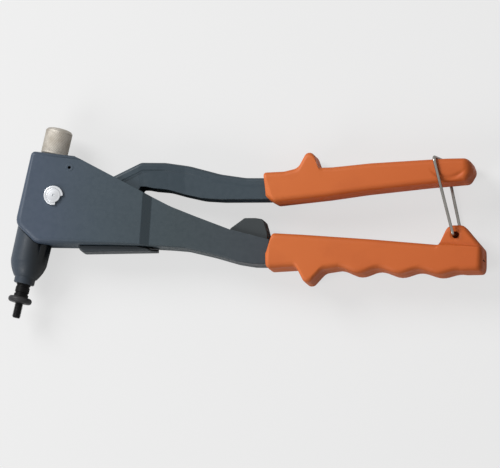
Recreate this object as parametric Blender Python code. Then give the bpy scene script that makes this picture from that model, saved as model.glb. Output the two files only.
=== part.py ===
# Hand rivet nut tool with a closed wire bail, lying on its side.
# Frame: +X along the handles, +Y from the nose towards the knob, +Z up.
# The origin is on the lever's pivot axis, on the flat head of the lower pivot stud.

import math

import bmesh
import bpy
from mathutils import Matrix, Vector

MM = 0.001  # every size below is in millimetres

# Clearances
SEAT_GAP = 0.3  # between two pieces that touch on the real tool
DEEP = 40.0  # how far a cutter runs past what it cuts

# The tool axis, which carries the knob, the sleeve and the mandrel
AXIS_TILT = 13.2  # degrees from +Y towards +X
PIVOT_OFFSET = 7.4  # pivot axis to tool axis, also the drive arm's radius
PIVOT_ALONG = 60.7  # flange ring to the pivot, along the tool axis
REST_ARM_ANGLE = 20.0  # degrees that the drive arm stands above the square position

# Body: a pressed shell with the fixed handle. Widths are from the middle plane
HEAD_HALF_WIDTH = 13.0
HANDLE_HALF_WIDTH = HEAD_HALF_WIDTH - 3.0
TANG_HALF_WIDTH = HANDLE_HALF_WIDTH - 1.0
SHELL_WALL = 2.0
STEP_START = 49.5  # where the wide head starts to narrow to the handle
STEP_LENGTH = 5.5
STEP_SLANT = 0.068  # the step leans towards the handle at its upper end
STEP_LEVEL = -14.0
STUD_HEAD_RISE = 1.8  # stud head above the side plate
MID_Z = HEAD_HALF_WIDTH + STUD_HEAD_RISE  # the tool's plane of symmetry
WEB_OFFSET = 10.9  # tool axis to the outside of the front web
CHIN_ALONG = 41.0  # flange ring to the corner where the front web meets the chin
WEB_ALONG = 83.6  # flange ring to the outside of the web under the knob
REAR_WEB_END = 8.5  # where the web under the knob stops, to let the lever swing

# Lever, in the shell between the side plates
LEVER_WALL = 2.4
LEVER_HALF_WIDTH = HEAD_HALF_WIDTH - SHELL_WALL - SEAT_GAP
RECESS_DEPTH = 1.0  # how far the cheeks are pressed in below the rim
LEVER_TANG_HALF_WIDTH = LEVER_HALF_WIDTH - 2.1  # behind the head, and in its grip
SIDE_PLAY = 0.7  # lever's cheek to the sleeve between them
LEVER_NECK_START = 48.0  # where the cheeks start to draw in behind the head
LEVER_NECK_LENGTH = 26.0

# Pivot studs and stop pin
STUD_HEAD_RADIUS = 5.5
STUD_SHANK_RADIUS = 3.6
STUD_INNER_END = LEVER_HALF_WIDTH - LEVER_WALL - SEAT_GAP
STUD_MARK_RADIUS = 0.6
STOP_PIN_PLACE = (9.0, 15.8)
STOP_PIN_RADIUS = 1.5
STOP_PIN_BORE = 0.85
STOP_PIN_SLIT = 0.5

# Turned pieces on the tool axis
SLEEVE_RADIUS = LEVER_HALF_WIDTH - LEVER_WALL - SIDE_PLAY
DRIVE_PIN_RADIUS = 2.5
GROOVE_RADIUS = SLEEVE_RADIUS - 2.4
DRIVE_PIN_INNER_END = GROOVE_RADIUS + 0.4
SLEEVE_COLLAR = 4.0
SLEEVE_LENGTH = 2 * (SLEEVE_COLLAR + DRIVE_PIN_RADIUS + SEAT_GAP)
SLEEVE_SKIRT_LENGTH = 12.0
MANDREL_RADIUS = 2.4
MANDREL_GUIDE_RADIUS = MANDREL_RADIUS + 0.8
MANDREL_HEAD_RADIUS = MANDREL_GUIDE_RADIUS + 0.9
SLEEVE_SKIRT_RADIUS = MANDREL_GUIDE_RADIUS + 1.8
MANDREL_REACH = 10.3  # mandrel tip beyond the flange ring's middle
NOSE_RADIUS = 10.4
NOSE_RADIUS_AT_BODY = NOSE_RADIUS + 0.5
STEM_RADIUS = MANDREL_RADIUS + 1.6
COLLAR_RADIUS = STEM_RADIUS + 1.9
FLANGE_RADIUS = STEM_RADIUS + 2.75
FLANGE_THICKNESS = 3.5
COLLAR_START = 9.3  # flange ring to the nose's collar
SHOULDER_LENGTH = 9.0
SHOULDER_CURVE = ((0.0, 0.0), (0.13, 0.21), (0.3, 0.44), (0.5, 0.67), (0.7, 0.84), (0.87, 0.95), (1.0, 1.0))
SPIGOT_RADIUS = SLEEVE_SKIRT_RADIUS + SEAT_GAP + 2.1
SPIGOT_END = 50.0
SPINDLE_RADIUS = 2.1
SPINDLE_ENGAGED = 8.8  # how far the spindle's hexagon is in the mandrel at rest
BUSH_RADIUS = SPINDLE_RADIUS + 1.5
WASHER_RADIUS = BUSH_RADIUS + 1.4
KNOB_RADIUS = 7.6
KNOB_CLEARANCE = 1.3  # web to knob
KNOB_LENGTH = 13.4
KNOB_DOME = 1.5
KNOB_EDGE = 0.6
KNOB_FOOT = 0.8
KNOB_PIN_RADIUS = 1.0
KNOB_PIN_REACH = 5.0  # how far past the axis its blind hole holds it
SPRING_WIRE = 0.6
SPRING_RADIUS = SPINDLE_RADIUS + 2.8
SPRING_TURNS = 4

# Grips
GRIP_HALF_WIDTH = TANG_HALF_WIDTH + 3.5
LUG_HALF_WIDTH = GRIP_HALF_WIDTH - 2.0
LEVER_GRIP_TOP = 17.4
FINGER_PITCH = 22.8
FINGER_DEPTH = 3.2
FINGER_FADE = 0.4  # each swell is this much lower than the one before
FINGER_FIRST_BUMP = 172.4
FINGER_LINE = -43.0
FINGER_FALL = 0.045
FINGER_COUNT = 3

# Wire bail
BAIL_HINGE = (227.5, -25.8)
BAIL_HOLE_RADIUS = 2.0
BAIL_LEAN = 14.0  # degrees from +Y towards the nose when hooked
BAIL_RACK = 2.3  # degrees that the lower leg leans less: the sprung wire stands askew
BAIL_YAW = 4.4  # degrees that it is turned in its loose hole
BAIL_WIRE = 0.85
BAIL_CORNER = 3.0
BAIL_PLAY = 0.3  # bight to the lever's grip
BAIL_END_DEPTH = 5.0  # how far from the middle plane each end stops

# Belly cover
BELLY_START = 13.1
BELLY_LENGTH = 44.0
BELLY_HALF_WIDTH = 6.8
BELLY_CUTBACK = 6.2
BELLY_BOTTOM = -31.5
BELLY_WALL = 1.2

ARC_STEPS = 4
ROUND_SEGMENTS = 24

TILT = math.radians(AXIS_TILT)
ALONG = Vector((math.sin(TILT), math.cos(TILT)))  # towards the knob
ACROSS = Vector((math.cos(TILT), -math.sin(TILT)))  # towards the handles
RING = -PIVOT_OFFSET * ACROSS - PIVOT_ALONG * ALONG  # middle of the flange ring
SPINDLE_END = PIVOT_ALONG + PIVOT_OFFSET * math.sin(math.radians(REST_ARM_ANGLE)) + 2.6 - SPINDLE_ENGAGED
BUSH_FOOT = WEB_ALONG - SHELL_WALL - 2.15  # lower face of the bush's foot, under the web
BELLY_END = BELLY_START + BELLY_LENGTH
BAIL_REACH = LEVER_GRIP_TOP + BAIL_PLAY + BAIL_WIRE - BAIL_HINGE[1]
BAIL_LENGTH = BAIL_REACH / math.cos(math.radians(BAIL_LEAN))  # hinge to the middle of the bight
KNOB_BASE = WEB_ALONG + KNOB_CLEARANCE
GROOVE_ALONG = PIVOT_ALONG + PIVOT_OFFSET * math.sin(math.radians(REST_ARM_ANGLE))

construction = bpy.data.collections.new("construction")


def clear_scene():
    for obj in list(bpy.data.objects):
        bpy.data.objects.remove(obj, do_unlink=True)
    bpy.context.scene.collection.children.link(construction)


def on_axis(along, across=0.0):
    """The point in the middle plane at this distance along and across the tool axis."""
    return RING + along * ALONG + across * ACROSS


def make_material(name, colour, roughness, metallic=0.0):
    material = bpy.data.materials.new(name)
    material.use_nodes = True
    shader = material.node_tree.nodes["Principled BSDF"]
    shader.inputs["Base Color"].default_value = (*colour, 1.0)
    shader.inputs["Roughness"].default_value = roughness
    shader.inputs["Metallic"].default_value = metallic
    material.diffuse_color = (*colour, 1.0)
    return material


def make_object(name, points, faces, material=None):
    """A mesh object from points in millimetres, with its normals facing out."""
    mesh = bpy.data.meshes.new(name)
    mesh.from_pydata([tuple(c * MM for c in point) for point in points], [], faces)
    work = bmesh.new()
    work.from_mesh(mesh)
    bmesh.ops.remove_doubles(work, verts=work.verts, dist=1e-6)
    bmesh.ops.recalc_face_normals(work, faces=work.faces)
    work.to_mesh(mesh)
    work.free()
    obj = bpy.data.objects.new(name, mesh)
    if material is None:
        construction.objects.link(obj)
        obj.hide_render = True
        obj.display_type = "WIRE"
    else:
        bpy.context.scene.collection.objects.link(obj)
        mesh.materials.append(make_material(name, *material))
        mesh.shade_smooth()
        mesh.set_sharp_from_angle(angle=math.radians(32))
    return obj


def boolean(target, other, operation="DIFFERENCE"):
    modifier = target.modifiers.new(f"{operation.lower()}_{other.name}", "BOOLEAN")
    modifier.operation = operation
    modifier.solver = "EXACT"
    modifier.object = other
    return target


# Outlines in the plane of the handles

def rounded(corners, steps=ARC_STEPS):
    """A closed outline from corners (x, y, radius), each corner turned into an arc."""
    outline = []
    count = len(corners)
    for i, (x, y, radius) in enumerate(corners):
        here = Vector((x, y))
        if radius <= 0:
            outline.append(here)
            continue
        back = (Vector(corners[i - 1][:2]) - here).normalized()
        ahead = (Vector(corners[(i + 1) % count][:2]) - here).normalized()
        half = math.acos(max(-1.0, min(1.0, back.dot(ahead)))) / 2
        reach = radius / math.tan(half)
        centre = here + (back + ahead).normalized() * (radius / math.sin(half))
        first = here + back * reach - centre
        last = here + ahead * reach - centre
        turn = first.angle_signed(last)
        for k in range(steps + 1):
            arm = first.copy()
            arm.rotate(Matrix.Rotation(-turn * k / steps, 2))
            outline.append(centre + arm)
    return outline


def inset(outline, distances):
    """Each point moved inwards by its own distance, square to the sides it joins."""
    area = sum(p.x * q.y - q.x * p.y for p, q in zip(outline, outline[1:] + outline[:1]))
    side = 1.0 if area > 0 else -1.0
    moved = []
    for i, here in enumerate(outline):
        before = (here - outline[i - 1]).normalized()
        after = (outline[(i + 1) % len(outline)] - here).normalized()
        normal_before = Vector((-before.y, before.x)) * side
        normal_after = Vector((-after.y, after.x)) * side
        middle = (normal_before + normal_after).normalized()
        moved.append(here + middle * (distances[i] / max(0.35, middle.dot(normal_after))))
    return moved


def prism(name, outline, half_width, edge_round=0.0, steps=3, material=None, centre=None):
    """The outline carried to both sides of a middle plane, its edges rounded.

    edge_round is one radius, or a function that gives it for a point of the outline.
    """
    centre = MID_Z if centre is None else centre
    radii = [edge_round(p) if callable(edge_round) else edge_round for p in outline]
    count = len(outline)
    quarter = [math.pi / 2 * k / steps for k in range(steps + 1)] if max(radii) > 0 else [0.0]
    rings = []
    for angle in reversed(quarter):
        ring = inset(outline, [r * (1 - math.cos(angle)) for r in radii])
        rise = [half_width - r * (1 - math.sin(angle)) for r in radii]
        rings.append([(p.x, p.y, centre + z) for p, z in zip(ring, rise)])
    rings += [[(x, y, 2 * centre - z) for x, y, z in ring] for ring in reversed(rings)]
    points = [point for ring in rings for point in ring]
    faces = [list(range(count))]
    faces.append([(len(rings) - 1) * count + i for i in reversed(range(count))])
    for k in range(len(rings) - 1):
        for i in range(count):
            j = (i + 1) % count
            faces.append([k * count + i, (k + 1) * count + i, (k + 1) * count + j, k * count + j])
    return make_object(name, points, faces, material)


def narrow(obj, profile, full, slant=0.0):
    """Scale the half width along X: profile lists (x, half width), full is the prism's own.

    With a slant, the lines where the width changes lean by it about STEP_LEVEL.
    """
    work = bmesh.new()
    work.from_mesh(obj.data)
    for x, _ in profile:
        everything = work.verts[:] + work.edges[:] + work.faces[:]
        place = (x * MM, STEP_LEVEL * MM, 0)
        bmesh.ops.bisect_plane(work, geom=everything, plane_co=place, plane_no=(1, -slant, 0), dist=1e-7)
    for vertex in work.verts:
        x = vertex.co.x / MM - slant * (vertex.co.y / MM - STEP_LEVEL)
        width = profile[0][1]
        for (x0, w0), (x1, w1) in zip(profile, profile[1:]):
            if x >= x0:
                width = w0 + (w1 - w0) * min(1.0, (x - x0) / (x1 - x0))
        vertex.co.z = MID_Z * MM + (vertex.co.z - MID_Z * MM) * width / full
    work.to_mesh(obj.data)
    work.free()
    return obj


def turned(name, profile, material=None, segments=ROUND_SEGMENTS, frame=None):
    """A solid of revolution about the tool axis: profile lists (along, radius) round the section.

    A profile that starts and ends at radius 0 is solid; another one closes on itself.
    """
    frame = axis_frame() if frame is None else frame
    points, rings, faces = [], [], []
    flat_start = profile[0][1] <= 0 and profile[1][0] == profile[0][0]
    flat_end = profile[-1][1] <= 0 and profile[-2][0] == profile[-1][0]
    profile = profile[int(flat_start):len(profile) - int(flat_end)]
    for along, radius in profile:
        if radius <= 0:
            rings.append([len(points)] * segments)
            points.append(frame @ Vector((0, 0, along)))
            continue
        rings.append(list(range(len(points), len(points) + segments)))
        for i in range(segments):
            turn = math.tau * (i + 0.5) / segments
            points.append(frame @ Vector((radius * math.cos(turn), radius * math.sin(turn), along)))
    pairs = list(zip(rings, rings[1:]))
    if flat_start:
        faces.append(rings[0])
    if flat_end:
        faces.append(rings[-1])
    if not flat_start and profile[0][1] > 0:
        pairs.append((rings[-1], rings[0]))
    for lower, upper in pairs:
        for i in range(segments):
            j = (i + 1) % segments
            face = list(dict.fromkeys([lower[i], lower[j], upper[j], upper[i]]))
            if len(face) > 2:
                faces.append(face)
    return make_object(name, points, faces, material)


def axis_frame():
    """Local Z along the tool axis, from the middle of the flange ring, in millimetres."""
    along = Vector((ALONG.x, ALONG.y, 0))
    across = Vector((ACROSS.x, ACROSS.y, 0))
    frame = Matrix((across, along.cross(across), along)).transposed().to_4x4()
    frame.translation = Vector((RING.x, RING.y, MID_Z))
    return frame


def cross_frame(x, y, z=MID_Z):
    """Local Z along the world's Z, through a point of the middle plane."""
    return Matrix.Translation(Vector((x, y, z)))


def cylinder(name, radius, start, end, material=None, segments=ROUND_SEGMENTS, frame=None):
    return turned(name, [(start, 0), (start, radius), (end, radius), (end, 0)], material, segments, frame)


# The outlines of the body

UNDERSIDE = [(10.0, -27.4), (32.0, -28.0), (50.0, -28.7), (66.6, -29.9)]  # the shell's flat belly


def body_corners():
    """The closed block that the shell is pressed round, before its upper side is opened."""
    chin = on_axis(CHIN_ALONG, -WEB_OFFSET)
    top = on_axis(WEB_ALONG - 0.75, -WEB_OFFSET)
    return [
        (chin.x, chin.y, 7.0),
        (-10.6, -26.7, 7.0),
        *[(x, y, 0) for x, y in UNDERSIDE],
        (74.5, -30.7, 12.0),
        (90.0, -34.6, 0),
        (103.2, -38.6, 14.0),
        (112.3, -40.2, 0),
        (121.0, -40.5, 0),
        (126.0, -38.8, 0),
        (212.0, -42.3, 0),
        (212.0, -24.0, 0),
        (125.0, -14.0, 0),
        (60.0, 14.0, 0),
        (24.0, 20.9, 0),
        (top.x, top.y, 2.4),
    ]


def handle_top():
    """Upper edges of the side plates, from the web under the knob to the handle's end."""
    return [
        (11.0, 22.6, 3.0),
        (15.4, 20.4, 6.0),
        (52.4, 0.3, 30.0),
        (66.0, -6.9, 40.0),
        (80.0, -12.7, 60.0),
        (99.5, -20.4, 20.0),
        (121.8, -26.6, 0),
        (126.0, -27.0, 0),
    ]


HANDLE_TANG_TOP = -34.0  # upper edge of the handle's end inside its grip


def body_edge_round(point):
    """The bend is wide round the head and closes up towards the handle."""
    if point.y > 0:
        return 2.2
    return max(1.2, min(3.3, 3.3 - 2.1 * (point.x - 12.0) / 38.0))


def body_width(wall):
    return [
        (STEP_START, HEAD_HALF_WIDTH - wall),
        (STEP_START + 0.5, HEAD_HALF_WIDTH - 0.15 - wall),
        (STEP_START + STEP_LENGTH - 0.5, HANDLE_HALF_WIDTH + 0.15 - wall),
        (STEP_START + STEP_LENGTH, HANDLE_HALF_WIDTH - wall),
        (122.4, HANDLE_HALF_WIDTH - wall),
        (124.9, TANG_HALF_WIDTH - wall),
        (230.0, TANG_HALF_WIDTH - wall),
    ]


def shrink(corners, distance):
    """The corners moved inwards, with their radii shrunk to match."""
    outline = [Vector(c[:2]) for c in corners]
    moved = inset(outline, [distance] * len(outline))
    return [(p.x, p.y, max(0.8, c[2] - distance) if c[2] else 0) for p, c in zip(moved, corners)]


def body_shell():
    shell = prism("body_shell", rounded(body_corners()), HEAD_HALF_WIDTH, body_edge_round, 4, PAINT)
    narrow(shell, body_width(0), HEAD_HALF_WIDTH, STEP_SLANT)
    inner_half = HEAD_HALF_WIDTH - SHELL_WALL
    cavity = prism("cavity", rounded(shrink(body_corners(), SHELL_WALL)), inner_half, 1.2, 2)
    narrow(cavity, body_width(SHELL_WALL), inner_half, STEP_SLANT)
    boolean(shell, cavity)

    beyond = [(240.0, HANDLE_TANG_TOP, 0), (240.0, 70.0, 0), (handle_top()[0][0], 70.0, 0)]
    opening = handle_top() + [(212.0, HANDLE_TANG_TOP, 0)] + beyond
    boolean(shell, prism("upper_opening", rounded(opening), DEEP))
    room = ((REAR_WEB_END, 10.0), (30.0, 10.0), (30.0, 40.0), (REAR_WEB_END, 40.0))
    web = [Vector(p) for p in room]
    boolean(shell, prism("web_end", web, inner_half - 0.2))

    boolean(shell, cylinder("nose_hole", SPIGOT_RADIUS + SEAT_GAP, 20.0, SPIGOT_END + 4.0))
    boolean(shell, cylinder("spindle_hole", BUSH_RADIUS + SEAT_GAP, WEB_ALONG - 7.0, WEB_ALONG + 8.0))
    boolean(shell, cylinder("washer_seat", WASHER_RADIUS + SEAT_GAP, WEB_ALONG, WEB_ALONG + 8.0))
    stud = STUD_SHANK_RADIUS + SEAT_GAP
    boolean(shell, cylinder("stud_holes", stud, -DEEP, DEEP, frame=cross_frame(0, 0)))
    stop = STOP_PIN_RADIUS + SEAT_GAP
    frame = cross_frame(*STOP_PIN_PLACE)
    boolean(shell, cylinder("stop_pin_holes", stop, -DEEP, DEEP, segments=16, frame=frame))
    return shell


def belly_cover():
    """A pressed cover under the belly, closed at the nose end and open at the handle end.

    Its upper side is cut back at the open end.
    """
    def seat(x):
        for (x0, y0), (x1, y1) in zip(UNDERSIDE, UNDERSIDE[1:]):
            if x <= x1:
                break
        return y0 + (y1 - y0) * (x - x0) / (x1 - x0) - SEAT_GAP

    def bend(point):
        return 0.8 if point.y < seat(point.x) - 0.3 else 0.0

    corners = [
        (BELLY_START, seat(BELLY_START), 0),
        (BELLY_START + 0.2, seat(BELLY_START) - 2.5, 1.4),
        (BELLY_START + 5.2, BELLY_BOTTOM + 0.1, 5.0),
        (BELLY_END - 0.7, BELLY_BOTTOM, 0),
        (BELLY_END, BELLY_BOTTOM + 0.7, 0),
        (BELLY_END, seat(BELLY_END), 0),
        *[(x, seat(x), 0) for x, _ in reversed(UNDERSIDE) if BELLY_START < x < BELLY_END],
    ]
    cover = prism("belly_cover", rounded(corners), BELLY_HALF_WIDTH, bend, 3, PAINT)
    inside = BELLY_BOTTOM + BELLY_WALL
    hollow = [
        (BELLY_START + 2.2, seat(BELLY_START) + 2.0, 0),
        (BELLY_START + 2.4, seat(BELLY_START) - 1.2, 0.6),
        (BELLY_START + 6.0, inside, 3.0),
        (BELLY_END + 6.0, inside, 0),
        (BELLY_END + 6.0, seat(BELLY_START) + 2.0, 0),
    ]
    boolean(cover, prism("belly_hollow", rounded(hollow), BELLY_HALF_WIDTH - BELLY_WALL))
    mouth = [
        (BELLY_END - BELLY_CUTBACK - 1.0, seat(BELLY_END) + 3.0, 0),
        (BELLY_END - BELLY_CUTBACK, inside - 0.2, 0),
        (BELLY_END + 6.0, inside - 0.2, 0),
        (BELLY_END + 6.0, seat(BELLY_END) + 3.0, 0),
    ]
    boolean(cover, prism("belly_mouth", rounded(mouth), BELLY_HALF_WIDTH, centre=MID_Z + BELLY_HALF_WIDTH))
    return cover


# The turned pieces of the nose, from the mandrel's tip to the knob

def nose_housing():
    """The nose tube: collar, domed shoulder and barrel, mitred to the shell, with a spigot inside it."""
    shoulder = COLLAR_START + 3.3
    rise = NOSE_RADIUS - COLLAR_RADIUS - 0.9
    dome = [
        (shoulder + 0.3 + SHOULDER_LENGTH * s, COLLAR_RADIUS + 0.6 + (rise + 0.3) * r)
        for s, r in SHOULDER_CURVE
    ]
    barrel = [
        (COLLAR_START, 0),
        (COLLAR_START, COLLAR_RADIUS - 0.5),
        (COLLAR_START + 0.5, COLLAR_RADIUS),
        (shoulder, COLLAR_RADIUS),
        *dome,
        (52.0, NOSE_RADIUS_AT_BODY),
        (52.0, 0),
    ]
    housing = turned("nose_housing", barrel, PAINT, 36)
    outside = [Vector(c[:2]) for c in body_corners()]
    grown = [(p.x, p.y) for p in inset(outside, [-SEAT_GAP] * len(outside))]
    corners = [(x, y, c[2] + SEAT_GAP if c[2] else 0) for (x, y), c in zip(grown, body_corners())]
    half = HEAD_HALF_WIDTH + SEAT_GAP
    boolean(housing, prism("shell_seat", rounded(corners), half, body_edge_round, 4))
    spigot = cylinder("nose_spigot", SPIGOT_RADIUS, 26.0, SPIGOT_END)
    boolean(housing, spigot, "UNION")
    seat = COLLAR_START + 9.0
    bore = [
        (COLLAR_START - 4.0, 0),
        (COLLAR_START - 4.0, STEM_RADIUS + SEAT_GAP),
        (seat, STEM_RADIUS + SEAT_GAP),
        (seat, MANDREL_RADIUS + SEAT_GAP),
        (seat + 3.7, MANDREL_RADIUS + SEAT_GAP),
        (seat + 5.7, SLEEVE_SKIRT_RADIUS + SEAT_GAP),
        (60.0, SLEEVE_SKIRT_RADIUS + SEAT_GAP),
        (60.0, 0),
    ]
    boolean(housing, turned("nose_bore", bore))
    return housing


def nosepiece():
    half = FLANGE_THICKNESS / 2
    bore = MANDREL_RADIUS + SEAT_GAP
    profile = [
        (-half, bore),
        (-half, FLANGE_RADIUS - 0.8),
        (-half + 0.25, FLANGE_RADIUS - 0.25),
        (-half + 0.8, FLANGE_RADIUS),
        (half - 0.8, FLANGE_RADIUS),
        (half - 0.25, FLANGE_RADIUS - 0.25),
        (half, FLANGE_RADIUS - 0.8),
        (half, STEM_RADIUS - 0.15),
        (COLLAR_START - 0.3, STEM_RADIUS),
        (COLLAR_START + 8.7, STEM_RADIUS),
        (COLLAR_START + 8.7, bore),
    ]
    return turned("nosepiece", profile, BLACK_STEEL, 32)


def draw_sleeve():
    """The sleeve that the drive pins move: a round groove between two collars, over a guide skirt."""
    half = SLEEVE_LENGTH / 2
    groove = DRIVE_PIN_RADIUS + SEAT_GAP
    g = GROOVE_ALONG
    profile = [
        (g - half - SLEEVE_SKIRT_LENGTH, MANDREL_GUIDE_RADIUS + SEAT_GAP),
        (g - half - SLEEVE_SKIRT_LENGTH, SLEEVE_SKIRT_RADIUS),
        (g - half, SLEEVE_SKIRT_RADIUS),
        (g - half, SLEEVE_RADIUS - 0.5),
        (g - half + 0.5, SLEEVE_RADIUS),
        (g - groove, SLEEVE_RADIUS),
        (g - groove, GROOVE_RADIUS),
        (g + groove, GROOVE_RADIUS),
        (g + groove, SLEEVE_RADIUS),
        (g + half - 0.5, SLEEVE_RADIUS),
        (g + half, SLEEVE_RADIUS - 0.5),
        (g + half, MANDREL_HEAD_RADIUS + SEAT_GAP),
        (g - 4.0, MANDREL_HEAD_RADIUS + SEAT_GAP),
        (g - 4.0, MANDREL_GUIDE_RADIUS + SEAT_GAP),
    ]
    return turned("draw_sleeve", profile, STEEL)


def sleeve_cap():
    """Screwed into the sleeve's top: it holds the mandrel's head and seats the spring."""
    top = GROOVE_ALONG + SLEEVE_LENGTH / 2 + SEAT_GAP
    bore = SPINDLE_RADIUS + SEAT_GAP
    profile = [
        (GROOVE_ALONG + 2.9, bore),
        (GROOVE_ALONG + 2.9, MANDREL_HEAD_RADIUS),
        (top, MANDREL_HEAD_RADIUS),
        (top, SLEEVE_RADIUS - 1.6),
        (top + 1.2, SLEEVE_RADIUS - 1.6),
        (top + 1.2, bore),
    ]
    return turned("sleeve_cap", profile, STEEL)


def hexagon(name, across_flats, start, end, material=None):
    corner = across_flats / math.sqrt(3)
    return cylinder(name, corner, start, end, material, 6)


def mandrel():
    """The threaded pull rod: a head held in the sleeve, with a six-sided socket for the spindle."""
    g = GROOVE_ALONG
    profile = [
        (-MANDREL_REACH, 0),
        (-MANDREL_REACH, MANDREL_RADIUS - 0.6),
        (-MANDREL_REACH + 0.6, MANDREL_RADIUS),
        (48.0, MANDREL_RADIUS),
        (49.5, MANDREL_GUIDE_RADIUS),
        (g - 3.7, MANDREL_GUIDE_RADIUS),
        (g - 3.7, MANDREL_HEAD_RADIUS),
        (g + 2.6, MANDREL_HEAD_RADIUS),
        (g + 2.6, 0),
    ]
    rod = turned("mandrel", profile, BLACK_STEEL)
    socket = 2 * (SPINDLE_RADIUS * math.cos(math.pi / 6) + SEAT_GAP)
    boolean(rod, hexagon("mandrel_socket", socket, SPINDLE_END - 1.2, g + 12.0))
    return rod


def spindle():
    """The knob's shaft: round in its bush, six-sided below, where it turns the mandrel."""
    shaft = cylinder("spindle", SPINDLE_RADIUS, BUSH_FOOT - 3.2, KNOB_BASE + 8.6, STEEL, 24)
    flats = 2 * SPINDLE_RADIUS * math.cos(math.pi / 6)
    boolean(shaft, hexagon("spindle_hexagon", flats - 0.02, SPINDLE_END, BUSH_FOOT - 2.7), "UNION")
    boolean(shaft, knob_pin_hole("spindle_pin_hole"))
    return shaft


def pin_frame():
    """Across the tool axis, through the knob, from its lower side."""
    place = on_axis(KNOB_BASE + 4.4)
    return cross_frame(place.x, place.y)


def knob_pin_hole(name):
    end = KNOB_PIN_REACH + SEAT_GAP
    return cylinder(name, KNOB_PIN_RADIUS + SEAT_GAP, -DEEP, end, None, 12, pin_frame())


def knob_pin():
    return cylinder("knob_pin", KNOB_PIN_RADIUS, -KNOB_RADIUS + 0.4, KNOB_PIN_REACH, STEEL, 12, pin_frame())


def knob():
    """A round knob with a chamfered foot, a shallow waist groove and a domed end."""
    top = KNOB_BASE + KNOB_LENGTH
    bore = SPINDLE_RADIUS + SEAT_GAP
    dome = [
        (top + KNOB_DOME * math.sin(t), (KNOB_RADIUS - KNOB_EDGE) * math.cos(t))
        for t in (0.0, 0.35, 0.75, 1.15)
    ]
    profile = [
        (KNOB_BASE + 9.0, 0),
        (KNOB_BASE + 9.0, bore),
        (KNOB_BASE, bore),
        (KNOB_BASE, KNOB_RADIUS - KNOB_FOOT),
        (KNOB_BASE + KNOB_FOOT, KNOB_RADIUS),
        (top - KNOB_EDGE, KNOB_RADIUS),
        *dome,
        (top + KNOB_DOME, 0),
    ]
    body = turned("knob", profile, STEEL, 36)
    boolean(body, knob_pin_hole("knob_pin_bore"))
    return body


def spindle_bush():
    bore = SPINDLE_RADIUS + SEAT_GAP
    top = WEB_ALONG - 0.2
    step = BUSH_FOOT + 1.4
    foot = BUSH_RADIUS + 2.4
    profile = [
        (BUSH_FOOT, bore),
        (BUSH_FOOT, foot),
        (step, foot),
        (step, BUSH_RADIUS),
        (top, BUSH_RADIUS),
        (top, bore),
    ]
    return turned("spindle_bush", profile, BRASS)


def knob_washer():
    bore = SPINDLE_RADIUS + SEAT_GAP
    foot = WEB_ALONG + SEAT_GAP
    top = KNOB_BASE - SEAT_GAP
    rim = WASHER_RADIUS
    return turned("knob_washer", [(foot, bore), (foot, rim), (top, rim), (top, bore)], STEEL)


def spindle_clip():
    """The spring clip under the bush, open on one side."""
    low, high = BUSH_FOOT - 1.1, BUSH_FOOT - SEAT_GAP
    bore = SPINDLE_RADIUS + SEAT_GAP
    rim = bore + 1.3
    clip = turned("spindle_clip", [(low, bore), (low, rim), (high, rim), (high, bore)], STEEL, 24)
    opening = [Vector(c) for c in ((-6, -1.2), (0, -1.2), (0, 1.2), (-6, 1.2))]
    gap = prism("clip_gap", opening, DEEP, centre=0.0)
    frame = axis_frame()
    gap.matrix_world = Matrix.Diagonal((MM, MM, MM, 1)) @ frame @ Matrix.Diagonal((1 / MM, 1 / MM, 1 / MM, 1))
    boolean(clip, gap)
    return clip


def tube_along(name, route, radius, material, resolution=2):
    """A round wire through the route's points, in millimetres, with closed ends."""
    curve = bpy.data.curves.new(name, "CURVE")
    curve.dimensions = "3D"
    curve.bevel_depth = radius * MM
    curve.bevel_resolution = resolution
    curve.use_fill_caps = True
    curve.twist_mode = "MINIMUM"
    line = curve.splines.new("POLY")
    line.points.add(len(route) - 1)
    for point, place in zip(line.points, route):
        point.co = (*(c * MM for c in place), 1.0)
    obj = bpy.data.objects.new(name, curve)
    bpy.context.scene.collection.objects.link(obj)
    curve.materials.append(make_material(name, *material))
    return obj


def return_spring():
    """A compression spring between the sleeve's cap and the bush, with flat end turns."""
    low = GROOVE_ALONG + SLEEVE_LENGTH / 2 + SEAT_GAP + 1.2 + SEAT_GAP + SPRING_WIRE
    high = BUSH_FOOT - SEAT_GAP - SPRING_WIRE
    frame = axis_frame()
    steps = 18
    total = SPRING_TURNS * steps
    route = []
    for i in range(total + 1):
        turn = math.tau * i / steps
        rise = low + (high - low) * i / total
        route.append(frame @ Vector((SPRING_RADIUS * math.cos(turn), SPRING_RADIUS * math.sin(turn), rise)))
    return tube_along("return_spring", route, SPRING_WIRE, STEEL, 1)


# Pivot and stop

def pivot_stud(name, side):
    """A shouldered stud riveted into one side plate: side is +1 for the upper one."""
    head_under = HEAD_HALF_WIDTH + SEAT_GAP
    top = HEAD_HALF_WIDTH + STUD_HEAD_RISE
    frame = cross_frame(0, 0) @ Matrix.Diagonal((1, 1, side, 1))
    mark = [(top, STUD_MARK_RADIUS), (top - 0.4, 0)] if side > 0 else [(top, 0)]
    profile = [
        (STUD_INNER_END, 0),
        (STUD_INNER_END, STUD_SHANK_RADIUS - 0.4),
        (STUD_INNER_END + 0.4, STUD_SHANK_RADIUS),
        (head_under, STUD_SHANK_RADIUS),
        (head_under, STUD_HEAD_RADIUS),
        (top - 0.6, STUD_HEAD_RADIUS),
        (top - 0.15, STUD_HEAD_RADIUS - 0.35),
        (top, STUD_HEAD_RADIUS - 0.9),
        *mark,
    ]
    return turned(name, profile, ZINC, 32, frame)


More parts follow.
